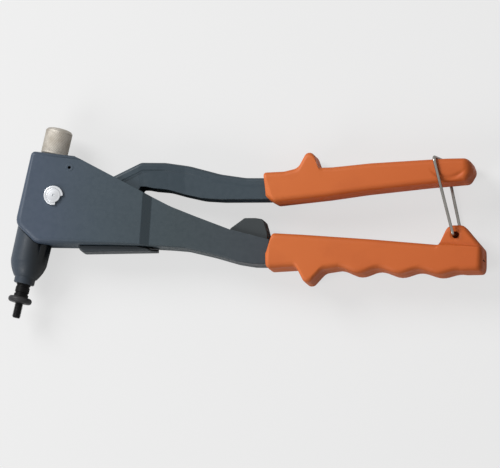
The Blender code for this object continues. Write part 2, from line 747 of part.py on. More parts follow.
def stop_pin():
    """A slotted spring pin across the head, which the opened lever meets."""
    half = HEAD_HALF_WIDTH - 0.1
    frame = cross_frame(*STOP_PIN_PLACE)
    wall = [(-half, STOP_PIN_BORE), (-half, STOP_PIN_RADIUS), (half, STOP_PIN_RADIUS), (half, STOP_PIN_BORE)]
    pin = turned("stop_pin", wall, STEEL, 20, frame)
    x, y = STOP_PIN_PLACE
    slit = STOP_PIN_SLIT / 2
    gap = [Vector((x, y - slit)), Vector((x + 3, y - slit)), Vector((x + 3, y + slit)), Vector((x, y + slit))]
    boolean(pin, prism("stop_pin_slit", gap, DEEP))
    return pin


# Lever

def arm_point():
    """The drive pins' place at rest."""
    angle = math.radians(REST_ARM_ANGLE)
    return PIVOT_OFFSET * (-math.cos(angle) * ACROSS + math.sin(angle) * ALONG)


def lever_corners():
    pin = arm_point()
    return [
        (56.0, 3.8, 8.0),
        (64.4, 2.9, 20.0),
        (73.5, 0.2, 30.0),
        (84.0, -2.3, 30.0),
        (95.0, -3.1, 20.0),
        (118.5, -3.4, 0),
        (119.0, -2.6, 0),
        (155.0, -0.2, 0),
        (222.0, 6.8, 0),
        (222.0, 14.0, 0),
        (155.0, 10.3, 0),
        (119.0, 8.5, 0),
        (108.7, 8.7, 30.0),
        (94.4, 11.0, 0),
        (76.5, 16.0, 40.0),
        (63.0, 18.0, 12.0),
        (49.5, 18.2, 5.0),
        (33.9, 10.8, 0),
        (27.0, 7.0, 8.0),
        (18.5, 2.7, 5.0),
        (4.0, 7.4, 5.0),
        (pin.x - 1.5, pin.y + 5.4, 4.6),
        (pin.x - 5.2, pin.y - 2.0, 4.6),
        (-4.0, -8.4, 7.0),
        (20.0, -9.0, 20.0),
        (44.0, -4.5, 5.0),
        (48.9, 4.7, 1.0),
        (52.0, 4.6, 0),
    ]


def lever_round(point):
    """The bend between the lever's top and its sides."""
    on_top = point.x > 31.0 and point.y > 0.1 * point.x - 5.0 and not in_lower_edge(point)
    return 1.6 if on_top else 0.0


def in_lower_edge(point):
    return point.y < (4.5 if point.x < 100.0 else 0.07 * point.x - 8.0 + 1.0)


def lever_width():
    return [
        (LEVER_NECK_START, LEVER_HALF_WIDTH),
        (LEVER_NECK_START + LEVER_NECK_LENGTH, LEVER_TANG_HALF_WIDTH),
        (240.0, LEVER_TANG_HALF_WIDTH),
    ]


def loft_pair(name, near, far, near_z, far_z):
    """A solid between two outlines of the same number of points, at two heights."""
    count = len(near)
    points = [(p[0], p[1], near_z) for p in near] + [(p[0], p[1], far_z) for p in far]
    faces = [list(range(count)), list(range(2 * count - 1, count - 1, -1))]
    for i in range(count):
        j = (i + 1) % count
        faces.append([i, j, count + j, count + i])
    return make_object(name, points, faces)


def lever_handle():
    """A pressed channel, open below, whose sides are set in to pass between the side plates."""
    lever = prism("lever_handle", rounded(lever_corners()), LEVER_HALF_WIDTH, lever_round, 3, LEVER_PAINT)
    narrow(lever, lever_width(), LEVER_HALF_WIDTH)

    inner_half = LEVER_HALF_WIDTH - LEVER_WALL
    inside = [
        (31.0, 8.0),
        (49.8, 15.9),
        (62.5, 15.7),
        (76.0, 13.7),
        (94.0, 8.7),
        (108.7, 6.4),
        (119.0, 6.1),
        (155.0, 7.9),
        (219.0, 11.5),
        (219.0, -30.0),
        (-30.0, -30.0),
        (-30.0, 40.0),
        (31.0, 40.0),
    ]
    hollow = prism("lever_inside", [Vector(p) for p in inside], inner_half)
    boolean(lever, narrow(hollow, [(x, w - LEVER_WALL) for x, w in lever_width()], inner_half))

    crease = [
        (-30.0, -30.0),
        (50.0, -30.0),
        (51.0, 6.0),
        (52.0, 12.6),
        (49.0, 12.3),
        (45.0, 10.4),
        (39.0, 7.2),
        (30.0, 2.4),
        (29.0, 40.0),
        (-30.0, 40.0),
    ]
    flare = [
        (-30.0, -30.0),
        (70.0, -30.0),
        (68.0, 4.0),
        (64.0, 13.0),
        (49.6, 13.4),
        (45.2, 11.4),
        (39.6, 8.4),
        (31.5, 4.0),
        (30.0, 40.0),
        (-30.0, 40.0),
    ]
    for side, name in ((1, "recess_upper"), (-1, "recess_lower")):
        near = MID_Z + side * (LEVER_HALF_WIDTH - RECESS_DEPTH)
        far = MID_Z + side * (LEVER_HALF_WIDTH + 0.05)
        boolean(lever, loft_pair(name, crease, flare, near, far))

    stud = STUD_SHANK_RADIUS + SEAT_GAP
    boolean(lever, cylinder("lever_stud_holes", stud, -DEEP, DEEP, frame=cross_frame(0, 0)))
    pin = arm_point()
    hole = DRIVE_PIN_RADIUS + SEAT_GAP
    frame = cross_frame(pin.x, pin.y)
    boolean(lever, cylinder("lever_pin_holes", hole, -DEEP, DEEP, segments=24, frame=frame))
    return lever


def drive_pin(name, side):
    pin = arm_point()
    frame = cross_frame(pin.x, pin.y) @ Matrix.Diagonal((1, 1, side, 1))
    end = LEVER_HALF_WIDTH - RECESS_DEPTH - 0.1
    return cylinder(name, DRIVE_PIN_RADIUS, DRIVE_PIN_INNER_END, end, STEEL, 24, frame)


# Grips

def lever_grip():
    corners = [
        (120.3, -2.6, 2.4),
        (125.6, -5.6, 3.0),
        (155.1, -2.8, 0),
        (176.5, -0.1, 0),
        (211.0, 3.1, 0),
        (234.0, 4.7, 4.2),
        (238.1, 10.2, 4.2),
        (235.4, LEVER_GRIP_TOP, 4.8),
        (222.3, LEVER_GRIP_TOP, 0),
        (179.7, LEVER_GRIP_TOP - 1.9, 0),
        (158.0, LEVER_GRIP_TOP - 3.8, 6.0),
        (149.9, LEVER_GRIP_TOP - 3.9, 3.0),
        (145.8, 26.8, 3.0),
        (138.5, 13.5, 6.0),
        (130.7, 11.7, 0),
        (118.7, 11.3, 1.6),
    ]
    outline = rounded(corners, 5)
    grip = prism("lever_grip", outline, GRIP_HALF_WIDTH, 2.0, 4, ORANGE)
    half = LEVER_TANG_HALF_WIDTH + SEAT_GAP
    pocket = [
        (100.0, -3.3),
        (119.0, -3.0),
        (155.0, -0.5),
        (222.4, 6.45),
        (222.4, 14.4),
        (155.0, 10.6),
        (119.0, 8.6),
        (100.0, 8.7),
    ]
    boolean(grip, prism("lever_pocket", [Vector(p) for p in pocket], half))
    return grip


def finger_line():
    """The underside between the guard and the end: a falling line with a round bump per finger."""
    start = FINGER_FIRST_BUMP - FINGER_PITCH / 2
    end = FINGER_FIRST_BUMP + (FINGER_COUNT - 0.5) * FINGER_PITCH
    steps = 8 * FINGER_COUNT
    points = []
    for i in range(steps + 1):
        x = start + (end - start) * i / steps
        finger = (x - start) / FINGER_PITCH
        height = FINGER_DEPTH - FINGER_FADE * int(min(finger, FINGER_COUNT - 1))
        swell = height * (1 - math.cos(math.tau * finger)) / 2
        points.append((x, FINGER_LINE - FINGER_FALL * (x - start) - swell, 0))
    return points


def fixed_grip():
    corners = [
        (120.0, -43.0, 2.8),
        (137.3, -42.3, 3.0),
        (143.0, -53.7, 3.2),
        (151.8, -44.2, 6.0),
        *finger_line(),
        (232.0, -46.4, 0),
        (242.8, -46.4, 2.4),
        (242.8, -33.2, 1.8),
        (218.8, -31.4, 0),
        (178.8, -27.4, 0),
        (141.0, -24.2, 0),
        (123.8, -23.0, 2.2),
        (119.8, -35.0, 4.0),
    ]
    grip = prism("fixed_grip", rounded(corners, 5), GRIP_HALF_WIDTH, 1.8, 4, ORANGE)
    lug = [
        (216.0, -36.0, 0),
        (241.8, -36.0, 0),
        (241.8, -31.9, 1.6),
        (237.5, -26.8, 6.0),
        (232.1, -20.2, 5.0),
        (223.1, -20.2, 5.0),
        (217.2, -32.0, 2.0),
    ]
    ears = prism("bail_lug", rounded(lug, 5), LUG_HALF_WIDTH, lambda p: 1.2 if p.y > -31.0 else 0.0, 3)
    boolean(grip, ears, "UNION")
    hole = cross_frame(*BAIL_HINGE)
    boolean(grip, cylinder("bail_hole", BAIL_HOLE_RADIUS, -DEEP, DEEP, segments=24, frame=hole))
    half = HANDLE_HALF_WIDTH + SEAT_GAP
    pocket = [
        (100.0, -40.9),
        (121.0, -40.9),
        (126.2, -39.1),
        (212.4, -42.6),
        (212.4, -33.7),
        (126.0, -27.0),
        (121.5, -26.4),
        (100.0, -20.5),
    ]
    slot = prism("handle_pocket", [Vector(p) for p in pocket], half)
    tang = TANG_HALF_WIDTH + SEAT_GAP
    boolean(grip, narrow(slot, [(122.0, half), (124.5, tang), (240.0, tang)], half))
    return grip


def handle_stop():
    """The moulded bumper between the handle's side plates, which stops the closing lever."""
    corners = [
        (99.6, -35.0, 0),
        (103.4, -36.2, 0),
        (112.0, -37.7, 0),
        (120.6, -38.1, 0),
        (120.9, -23.0, 0),
        (118.6, -14.8, 2.4),
        (114.0, -14.0, 0),
        (107.8, -13.9, 1.6),
        (99.6, -19.7, 1.0),
    ]
    half = HANDLE_HALF_WIDTH - SHELL_WALL - SEAT_GAP
    return prism("handle_stop", rounded(corners), half, 0.6, 2, STOP_BLACK)


# Wire bail

def wire_bail():
    """One round wire: an inward end in each side of the lug, two straight legs and a square bight."""
    base = Vector((*BAIL_HINGE, MID_Z))
    side = GRIP_HALF_WIDTH + SEAT_GAP + BAIL_WIRE
    foot = 1.6
    square = [
        (0.0, BAIL_END_DEPTH, 0.0),
        (0.0, side, foot),
        (BAIL_LENGTH, side, BAIL_CORNER),
        (BAIL_LENGTH, -side, BAIL_CORNER),
        (0.0, -side, foot),
        (0.0, -BAIL_END_DEPTH, 0.0),
    ]
    route = []
    for i, (reach, z, radius) in enumerate(square):
        here = Vector((reach, z))
        if radius == 0.0:
            route.append(here)
            continue
        back = (Vector(square[i - 1][:2]) - here).normalized()
        ahead = (Vector(square[i + 1][:2]) - here).normalized()
        centre = here + (back + ahead) * radius
        for k in range(6):
            angle = math.pi / 2 * k / 5
            route.append(centre - back * radius * math.sin(angle) - ahead * radius * math.cos(angle))
    places = []
    for p in route:
        lean = math.radians(90.0 + BAIL_LEAN - BAIL_RACK * (side - p.y) / (2 * side))
        yaw = -p.y * math.tan(math.radians(BAIL_YAW))
        places.append(base + Vector((p.x * math.cos(lean) + yaw, p.x * math.sin(lean), p.y)))
    return tube_along("wire_bail", places, BAIL_WIRE, STEEL, 2)


# Materials: colour, roughness, metallic
PAINT = ((0.075, 0.095, 0.12), 0.45, 0.0)
LEVER_PAINT = ((0.07, 0.085, 0.1), 0.45, 0.0)
BLACK_STEEL = ((0.02, 0.02, 0.024), 0.4, 0.6)
STEEL = ((0.5, 0.48, 0.44), 0.35, 1.0)
ZINC = ((0.8, 0.8, 0.82), 0.3, 1.0)
BRASS = ((0.6, 0.45, 0.2), 0.35, 1.0)
ORANGE = ((0.55, 0.13, 0.035), 0.5, 0.0)
STOP_BLACK = ((0.055, 0.065, 0.08), 0.5, 0.0)


def joint_empty(name, place, axis):
    """A marker on a joint's axis, with its Z along the axis."""
    empty = bpy.data.objects.new(name, None)
    empty.empty_display_size = 0.01
    turn = axis.to_track_quat("Z", "Y").to_matrix().to_4x4()
    empty.matrix_world = Matrix.Translation(Vector(place) * MM) @ turn
    bpy.context.scene.collection.objects.link(empty)
    return empty


def hang(parent, *children):
    bpy.context.view_layer.update()
    for child in children:
        child.parent = parent
        child.matrix_parent_inverse = parent.matrix_world.inverted()


def build():
    clear_scene()
    body_shell()
    belly_cover()
    nose_housing()
    nosepiece()
    spindle_bush()
    knob_washer()
    return_spring()
    pivot_stud("pivot_stud_upper", 1)
    pivot_stud("pivot_stud_lower", -1)
    stop_pin()
    handle_stop()
    fixed_grip()

    lever_pieces = [
        lever_handle(),
        drive_pin("drive_pin_upper", 1),
        drive_pin("drive_pin_lower", -1),
        lever_grip(),
    ]
    sleeve_pieces = [draw_sleeve(), sleeve_cap()]
    pull_rod = mandrel()
    knob_pieces = [knob(), spindle(), spindle_clip(), knob_pin()]
    bail = wire_bail()

    up = Vector((0, 0, 1))
    along = Vector((ALONG.x, ALONG.y, 0))
    ring = (RING.x, RING.y, MID_Z)
    hang(joint_empty("lever_axis", (0, 0, MID_Z), up), *lever_pieces)
    sleeve_axis = joint_empty("sleeve_axis", ring, along)
    hang(sleeve_axis, *sleeve_pieces)
    mandrel_axis = joint_empty("mandrel_axis", ring, along)
    hang(sleeve_axis, mandrel_axis)
    hang(mandrel_axis, pull_rod)
    hang(joint_empty("knob_axis", ring, along), *knob_pieces)
    hang(joint_empty("bail_axis", (*BAIL_HINGE, MID_Z), -up), bail)


build()
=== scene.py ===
# Hand rivet nut tool lying on its side: the looks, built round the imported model.
# Frame: +X along the handles, +Y from the nose towards the knob, +Z up. Shapes are in millimetres and
# become metres in makePiece. The studio, the camera and the places of tones are in metres.

import math

import bmesh
import bpy
import numpy as np
from mathutils import Matrix, Vector


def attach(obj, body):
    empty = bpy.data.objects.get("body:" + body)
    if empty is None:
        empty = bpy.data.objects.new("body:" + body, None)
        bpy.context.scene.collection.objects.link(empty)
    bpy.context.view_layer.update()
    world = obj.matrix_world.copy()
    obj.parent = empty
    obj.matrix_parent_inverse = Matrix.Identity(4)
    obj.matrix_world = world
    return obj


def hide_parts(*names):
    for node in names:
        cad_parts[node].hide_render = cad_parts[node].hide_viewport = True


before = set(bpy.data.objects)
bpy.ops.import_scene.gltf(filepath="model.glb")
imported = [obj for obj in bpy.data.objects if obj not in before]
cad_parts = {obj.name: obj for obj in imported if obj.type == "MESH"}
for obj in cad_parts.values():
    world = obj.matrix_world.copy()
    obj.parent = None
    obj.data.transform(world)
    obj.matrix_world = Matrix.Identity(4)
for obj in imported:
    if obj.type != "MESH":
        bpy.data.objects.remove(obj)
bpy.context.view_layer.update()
print("frame loaded:", len(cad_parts), "nodes")

mm = 0.001
midZ = 14.8  # the tool's plane of symmetry
tilt = math.radians(13.2)  # the tool axis leans from +Y towards +X
along = np.array([math.sin(tilt), math.cos(tilt), 0.0])  # towards the knob
across = np.array([math.cos(tilt), -math.sin(tilt), 0.0])  # towards the handles
upward = np.array([0.0, 0.0, 1.0])
lugHole = (227.5, -25.8)  # where the bail swings in the lower grip
ringMiddle = -7.4 * across - 60.7 * along + midZ * upward  # middle of the flange ring


# Shape helpers


# corners (x, y, radius) become arcs: centre = corner + bisector * radius / sin(half angle), and each
# arc turns evenly from one tangent point to the other; a corner with no radius stays one point
def roundedPath(corners, steps=10, closed=True):
    c = np.asarray(corners, float)
    here, radius = c[:, :2], np.maximum(c[:, 2], 1e-4)
    back = np.roll(here, 1, axis=0) - here
    ahead = np.roll(here, -1, axis=0) - here
    back /= np.linalg.norm(back, axis=1, keepdims=True)
    ahead /= np.linalg.norm(ahead, axis=1, keepdims=True)
    half = np.arccos(np.clip((back * ahead).sum(1), -1, 1)) / 2
    bisector = back + ahead
    bisector /= np.maximum(np.linalg.norm(bisector, axis=1, keepdims=True), 1e-9)
    centre = here + bisector * (radius / np.sin(half))[:, None]
    reach = (radius / np.tan(half))[:, None]
    first, last = here + back * reach - centre, here + ahead * reach - centre
    start = np.arctan2(first[:, 1], first[:, 0])
    turn = np.arctan2(first[:, 0] * last[:, 1] - first[:, 1] * last[:, 0], (first * last).sum(1))
    angle = start[:, None] + turn[:, None] * np.linspace(0, 1, steps)
    arcs = centre[:, None] + radius[:, None, None] * np.stack([np.cos(angle), np.sin(angle)], -1)
    sharp = c[:, 2] <= 0
    if not closed:
        sharp[[0, -1]] = True
    arcs[sharp] = here[sharp][:, None]
    points = arcs.reshape(-1, 2)
    keep = np.linalg.norm(points - np.roll(points, 1, axis=0), axis=1) > 1e-3
    keep[0] = True
    return points[keep]


# a path's points spread again so that the steps of |dx| * weightX + |dy| * weightY are even
def respaced(points, count, weights=(1.0, 1.0)):
    steps = np.abs(np.diff(points, axis=0)) @ np.asarray(weights)
    travel = np.concatenate([[0], np.cumsum(steps)]) / steps.sum()
    wanted = np.linspace(0, 1, count)
    return np.stack([np.interp(wanted, travel, points[:, i]) for i in range(points.shape[1])], -1)


# 0 below 0, 1 above 1, and 3t^2 - 2t^3 between
def smoothStep(t):
    t = np.clip(t, 0, 1)
    return t * t * (3 - 2 * t)


# a grid of points (rows along, columns round) as a closed mesh: quads between neighbours, the columns
# joined end to end, and a fan to each end's mean point, or rows joined too for a ring or a bored piece
def makePiece(name, grid, body, material, wrapRows=False, sharpAngle=None):
    rows, columns = grid.shape[:2]
    index = np.arange(rows * columns).reshape(rows, columns)
    lower = index if wrapRows else index[:-1]
    upper = np.roll(index, -1, axis=0) if wrapRows else index[1:]
    faces = np.stack([lower, np.roll(lower, -1, 1), np.roll(upper, -1, 1), upper], -1).reshape(-1,
            4).tolist()
    points = grid.reshape(-1, 3)
    if not wrapRows:
        points = np.vstack([points, grid[0].mean(0), grid[-1].mean(0)])
        for row, pole in ((index[0][::-1], rows * columns), (index[-1], rows * columns + 1)):
            faces += np.stack([row, np.roll(row, -1), np.full(columns, pole)], -1).tolist()
    mesh = bpy.data.meshes.new(name)
    mesh.from_pydata((points * mm).tolist(), [], faces)
    work = bmesh.new()
    work.from_mesh(mesh)
    bmesh.ops.remove_doubles(work, verts=work.verts, dist=1e-6)
    bmesh.ops.dissolve_degenerate(work, edges=work.edges, dist=1e-7)
    bmesh.ops.recalc_face_normals(work, faces=work.faces)
    if work.calc_volume(signed=True) < 0:
        bmesh.ops.reverse_faces(work, faces=work.faces)
    work.to_mesh(mesh)
    work.free()
    mesh.shade_smooth()
    if sharpAngle is not None:
        mesh.set_sharp_from_angle(angle=math.radians(sharpAngle))
    piece = bpy.data.objects.new(name, mesh)
    bpy.context.scene.collection.objects.link(piece)
    mesh.materials.append(material)
    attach(piece, body)
    return piece


# a profile (along, radius) turned about the tool axis, or about +Z through a point: each point is
# centre + axis * along + (side * cos + third * sin) * (radius + swell)
def turnedGrid(profile, segments, centre=ringMiddle, axis=along, side=across, swell=None):
    turn = np.linspace(0, 2 * np.pi, segments, endpoint=False)
    far = np.repeat(profile[:, :1], segments, axis=1)
    radius = np.repeat(profile[:, 1:2], segments, axis=1)
    if swell is not None:
        radius = radius + swell(far, np.broadcast_to(turn, far.shape))
    third = np.cross(axis, side)
    spoke = side * np.cos(turn)[None, :, None] + third * np.sin(turn)[None, :, None]
    return centre + far[..., None] * axis + radius[..., None] * spoke


# a profile with its straight parts cut so that no step is longer than the given length
def finer(points, longest):
    gap = np.linalg.norm(np.diff(points, axis=0), axis=1)
    cuts = np.maximum(1, np.ceil(gap / longest)).astype(int)
    owner = np.repeat(np.arange(len(cuts)), cuts)
    share = (np.arange(cuts.sum()) - np.repeat(np.cumsum(cuts) - cuts, cuts)) / cuts[owner]
    made = points[:-1][owner] + (points[1:] - points[:-1])[owner] * share[:, None]
    return np.vstack([made, points[-1:]])


# a round tube along a path: each ring lies in the plane of the flat direction and its cross product
# with the path's own direction
def sweptTube(path, radius, sides, flat):
    ahead = np.gradient(path, axis=0)
    ahead /= np.linalg.norm(ahead, axis=1, keepdims=True)
    first = flat - ahead * (ahead @ flat)[:, None]
    first /= np.linalg.norm(first, axis=1, keepdims=True)
    second = np.cross(ahead, first)
    turn = np.linspace(0, 2 * np.pi, sides, endpoint=False)
    size = np.broadcast_to(np.asarray(radius, float), (len(path),))[:, None, None]
    ring = first[:, None] * np.cos(turn)[None, :, None] + second[:, None] * np.sin(turn)[None, :, None]
    return path[:, None] + ring * size


# Material helpers


# sRGB hex to linear: v / 12.92 up to 0.04045, above it ((v + 0.055) / 1.055) to the power 2.4
def linear(hexColour):
    values = [int(hexColour[i:i + 2], 16) / 255 for i in (1, 3, 5)]
    return tuple(v / 12.92 if v <= 0.04045 else ((v + 0.055) / 1.055) ** 2.4 for v in values) + (1.0,)


# one node with its settings and its inputs: a value, or (node, output) for a link
def addNode(tree, kind, settings=None, inputs=None):
    made = tree.nodes.new(kind)
    for key, value in (settings or {}).items():
        setattr(made, key, value)
    for key, value in (inputs or {}).items():
        if isinstance(value, tuple) and isinstance(value[0], bpy.types.Node):
            tree.links.new(value[0].outputs[value[1]], made.inputs[key])
        else:
            made.inputs[key].default_value = value
    return made


# a material with its shader and output, and the values that are the same all over
def startMaterial(name, shaderValues):
    material = bpy.data.materials.new(name)
    material.use_nodes = True
    tree = material.node_tree
    tree.nodes.clear()
    shader = addNode(tree, "ShaderNodeBsdfPrincipled", None, shaderValues)
    addNode(tree, "ShaderNodeOutputMaterial", None, {"Surface": (shader, "BSDF")})
    place = addNode(tree, "ShaderNodeTexCoord")
    return material, tree, shader, place


# the finish's fine relief: a noise of this feature size, as height for a bump this deep, sets the normal
def addRelief(tree, shader, place, sizeMm, detail, strength, depthMm):
    noise = addNode(tree, "ShaderNodeTexNoise", None,
                    {"Vector": (place, "Object"), "Scale": perMetre(sizeMm), "Detail": detail})
    bump = addNode(tree, "ShaderNodeBump", None, {"Height": (noise, 0), "Strength": strength,
                                                  "Distance": depthMm * mm})
    tree.links.new(bump.outputs[0], shader.inputs["Normal"])


# a pattern's scale for features of this size: Object coordinates are metres, so 1 / size
def perMetre(sizeInMm):
    return 1000.0 / sizeInMm


# Studio and camera

studio = {
    "floorColour": "#ECECEC",
    "floorBounce": "#959595",  # what the floor gives back to the object
    "floorGlow": 0.76,  # share of the camera's view of the floor that no shadow reaches
    "floorHeight": -0.4,
    "worldStrength": 0.22,
    "shownStrength": 0.85,
    "aim": (0.09, -0.01, 0.015),
    # name, place, size and power: the key stands to the upper left, the second lamp to the lower left
    "lamps": (("keyLamp", (-0.79, 0.73, 0.98), 0.8, 19.5), ("leftLamp", (-0.86, -0.78, 0.88), 0.9, 10.5)),
}


# a node that is 1 for the light paths named, as the larger of their outputs
def pathShare(tree, *kinds):
    path = addNode(tree, "ShaderNodeLightPath")
    share = (path, kinds[0])
    for kind in kinds[1:]:
        share = (addNode(tree, "ShaderNodeMath", {"operation": "MAXIMUM"}, {0: share, 1: (path, kind)}), 0)
    return share


# light from all round, seen by the camera and in reflections at its own strength; the floor is a matt
# card mixed for the camera with its own glow, matt * (1 - share) + glow * share; then the lamps
def makeStudio(v):
    world = bpy.data.worlds.new("paleStudio")
    bpy.context.scene.world = world
    world.use_nodes = True
    tree = world.node_tree
    tree.nodes.clear()
    seen = pathShare(tree, "Is Camera Ray", "Is Glossy Ray", "Is Transmission Ray")
    strength = addNode(tree, "ShaderNodeMapRange", None,
                       {"Value": seen, "To Min": v["worldStrength"], "To Max": v["shownStrength"]})
    light = addNode(tree, "ShaderNodeBackground", None, {"Color": (1, 1, 1, 1), "Strength": (strength, 0)})
    addNode(tree, "ShaderNodeOutputWorld", None, {"Surface": (light, 0)})

    half, height = 4.0, v["floorHeight"] * mm
    mesh = bpy.data.meshes.new("floor")
    mesh.from_pydata([(-half, -half, height), (half, -half, height), (half, half, height),
                      (-half, half, height)], [], [(0, 1, 2, 3)])
    floor = bpy.data.objects.new("floor", mesh)
    bpy.context.scene.collection.objects.link(floor)
    card = bpy.data.materials.new("paleCard")
    card.use_nodes = True
    tree = card.node_tree
    tree.nodes.clear()
    seen = pathShare(tree, "Is Camera Ray", "Is Glossy Ray", "Is Transmission Ray")
    colour = addNode(tree, "ShaderNodeMix", {"data_type": "RGBA"},
                     {0: seen, 6: linear(v["floorBounce"]), 7: linear(v["floorColour"])})
    matt = addNode(tree, "ShaderNodeBsdfDiffuse", None, {"Color": (colour, 2)})
    glow = addNode(tree, "ShaderNodeEmission", None, {"Color": linear(v["floorColour"]), "Strength": 1.0})
    share = addNode(tree, "ShaderNodeMath", {"operation": "MULTIPLY"},
                    {0: pathShare(tree, "Is Camera Ray"), 1: v["floorGlow"]})
    both = addNode(tree, "ShaderNodeMixShader", None, {0: (share, 0), 1: (matt, 0), 2: (glow, 0)})
    addNode(tree, "ShaderNodeOutputMaterial", None, {"Surface": (both, 0)})
    mesh.materials.append(card)

    for name, place, size, power in v["lamps"]:
        lamp = bpy.data.lights.new(name, "AREA")
        lamp.shape = "DISK"
        lamp.size = size
        lamp.energy = power
        holder = bpy.data.objects.new(name, lamp)
        holder.location = place
        holder.rotation_euler = (Vector(v["aim"]) - Vector(place)).to_track_quat("-Z", "Y").to_euler()
        bpy.context.scene.collection.objects.link(holder)


# the photograph's own angle, through a long lens from six metres
cameraView = {
    "target": (0.109863, -0.022096, 0.014788),
    "towards": (0.138136, -0.121869, 0.982887),  # from the target to the camera
    "turn": 8.0,  # degrees that the picture's right hand dips below level
    "distance": 6.0,
    "lens": 768.0,
}


# place = target + direction * distance, and up = direction x right
def makeCamera(v):
    back = Vector(v["towards"]).normalized()
    right = Vector((math.cos(math.radians(v["turn"])), 0, -math.sin(math.radians(v["turn"]))))
    lens = bpy.data.cameras.new("photoCamera")
    lens.sensor_width = 36.0
    lens.lens = v["lens"]
    lens.clip_end = 20.0
    camera = bpy.data.objects.new("photoCamera", lens)
    place = Matrix((right, back.cross(right), back)).transposed().to_4x4()
    place.translation = Vector(v["target"]) + back * v["distance"]
    camera.matrix_world = place
    bpy.context.scene.collection.objects.link(camera)
    bpy.context.scene.camera = camera


makeStudio(studio)
makeCamera(cameraView)
bpy.context.scene.view_settings.view_transform = "Standard"
print("studio and camera ready")


# Finishes

# Slate enamel, sprayed on pressed steel and baked: even semi-gloss, faint orange peel, a tone that darkens
# and greys along x from the nose end towards the handles with a slow noise on it, and edges where handling has
# rubbed it thin and paler
slateEnamel = {"tones": ((-0.01, "#3D4857"), (0.025, "#38444D"), (0.07, "#333E43"), (0.125, "#33393F")),
               "rub": "#6A727A", "rubShare": 0.5,
               "driftMm": 45.0, "peelMm": 1.6, "peelDepth": 0.05, "rough": 0.42, "roughSpread": 0.08,
               "edgeMm": 0.5, "chipMm": 2.2, "specular": 0.35}
leverEnamel = {**slateEnamel, "tones": ((0.0, "#2E3A42"), (0.06, "#2F3B43"), (0.12, "#323E46"))}
# the belly cover takes the slate enamel in darker tones
bellyEnamel = {**slateEnamel, "tones": ((0.01, "#2A3137"), (0.06, "#2B3135"))}
# the nose tube's tones are painted shade: bluish grey on its left side, falling to near black on its right side,
# away from the lamps
noseEnamelWithShade = {**slateEnamel, "tones": ((-0.026, "#39434F"), (-0.012, "#10161B"), (-0.006, "#05080A")),
              "driftMm": 80.0, "rough": 0.46, "specular": 0.3}


# colour = tone along x, mixed with the rubbed tone by edge mask * patches
def bakedEnamel(name, v):
    material, tree, shader, place = startMaterial(name, {"Metallic": 0.0, "IOR": 1.5,
            "Specular IOR Level": v["specular"]})
    slow = addNode(tree, "ShaderNodeTexNoise", None, {"Vector": (place, "Object"),
            "Scale": perMetre(v["driftMm"]), "Detail": 2.0})
    split = addNode(tree, "ShaderNodeSeparateXYZ", None, {0: (place, "Object")})
    low, high = v["tones"][0][0], v["tones"][-1][0]
    shifted = addNode(tree, "ShaderNodeMath", {"operation": "MULTIPLY_ADD"},
                      {0: (slow, 0), 1: 0.03, 2: (split, "X")})
    reach = addNode(tree, "ShaderNodeMapRange", None, {"Value": (shifted, 0), "From Min": low + 0.015,
            "From Max": high + 0.015})
    tone = addNode(tree, "ShaderNodeValToRGB", None, {0: (reach, 0)})
    stops = tone.color_ramp.elements
    for i, (x, colour) in enumerate(v["tones"]):
        stop = stops[i] if i < 2 else stops.new(1.0)
        stop.position = (x - low) / (high - low)
        stop.color = linear(colour)
    # the rounded normal leaves the true one only near an edge: 1 - their dot product is the edge mask
    rounded = addNode(tree, "ShaderNodeBevel", {"samples": 4}, {"Radius": v["edgeMm"] * mm})
    shape = addNode(tree, "ShaderNodeNewGeometry")
    dot = addNode(tree, "ShaderNodeVectorMath", {"operation": "DOT_PRODUCT"},
                  {0: (rounded, 0), 1: (shape, "Normal")})
    edge = addNode(tree, "ShaderNodeMapRange", None, {"Value": (dot, "Value"), "From Min": 0.98,
            "From Max": 0.82})
    chips = addNode(tree, "ShaderNodeTexNoise", None, {"Vector": (place, "Object"),
            "Scale": perMetre(v["chipMm"]), "Detail": 5.0})
    patchy = addNode(tree, "ShaderNodeMapRange", None, {"Value": (chips, 0), "From Min": 0.45,
            "From Max": 0.65, "To Max": v["rubShare"]})
    worn = addNode(tree, "ShaderNodeMath", {"operation": "MULTIPLY"}, {0: (edge, 0), 1: (patchy, 0)})
    mixed = addNode(tree, "ShaderNodeMix", {"data_type": "RGBA"},
                    {0: (worn, 0), 6: (tone, 0), 7: linear(v["rub"])})
    tree.links.new(mixed.outputs[2], shader.inputs["Base Color"])
    sheen = addNode(tree, "ShaderNodeMapRange", None, {"Value": (chips, 0), "From Min": 0.3,
            "From Max": 0.7, "To Min": v["rough"] - v["roughSpread"],
                    "To Max": v["rough"] + v["roughSpread"]})
    tree.links.new(sheen.outputs[0], shader.inputs["Roughness"])
    addRelief(tree, shader, place, v["peelMm"], 1.0, 0.25, v["peelDepth"])
    return material


# Soft PVC, moulded over the handles: satin, a fine matt grain from the mould, tone a little deeper
# towards the far end, with soiled blotches from hands
orangeVinyl = {"colour": "#CC6A32", "far": "#C66029", "soiled": "#B25322", "grainMm": 0.8,
               "grainDepth": 0.04,
               "blotchMm": 26.0, "rough": 0.52, "specular": 0.36}


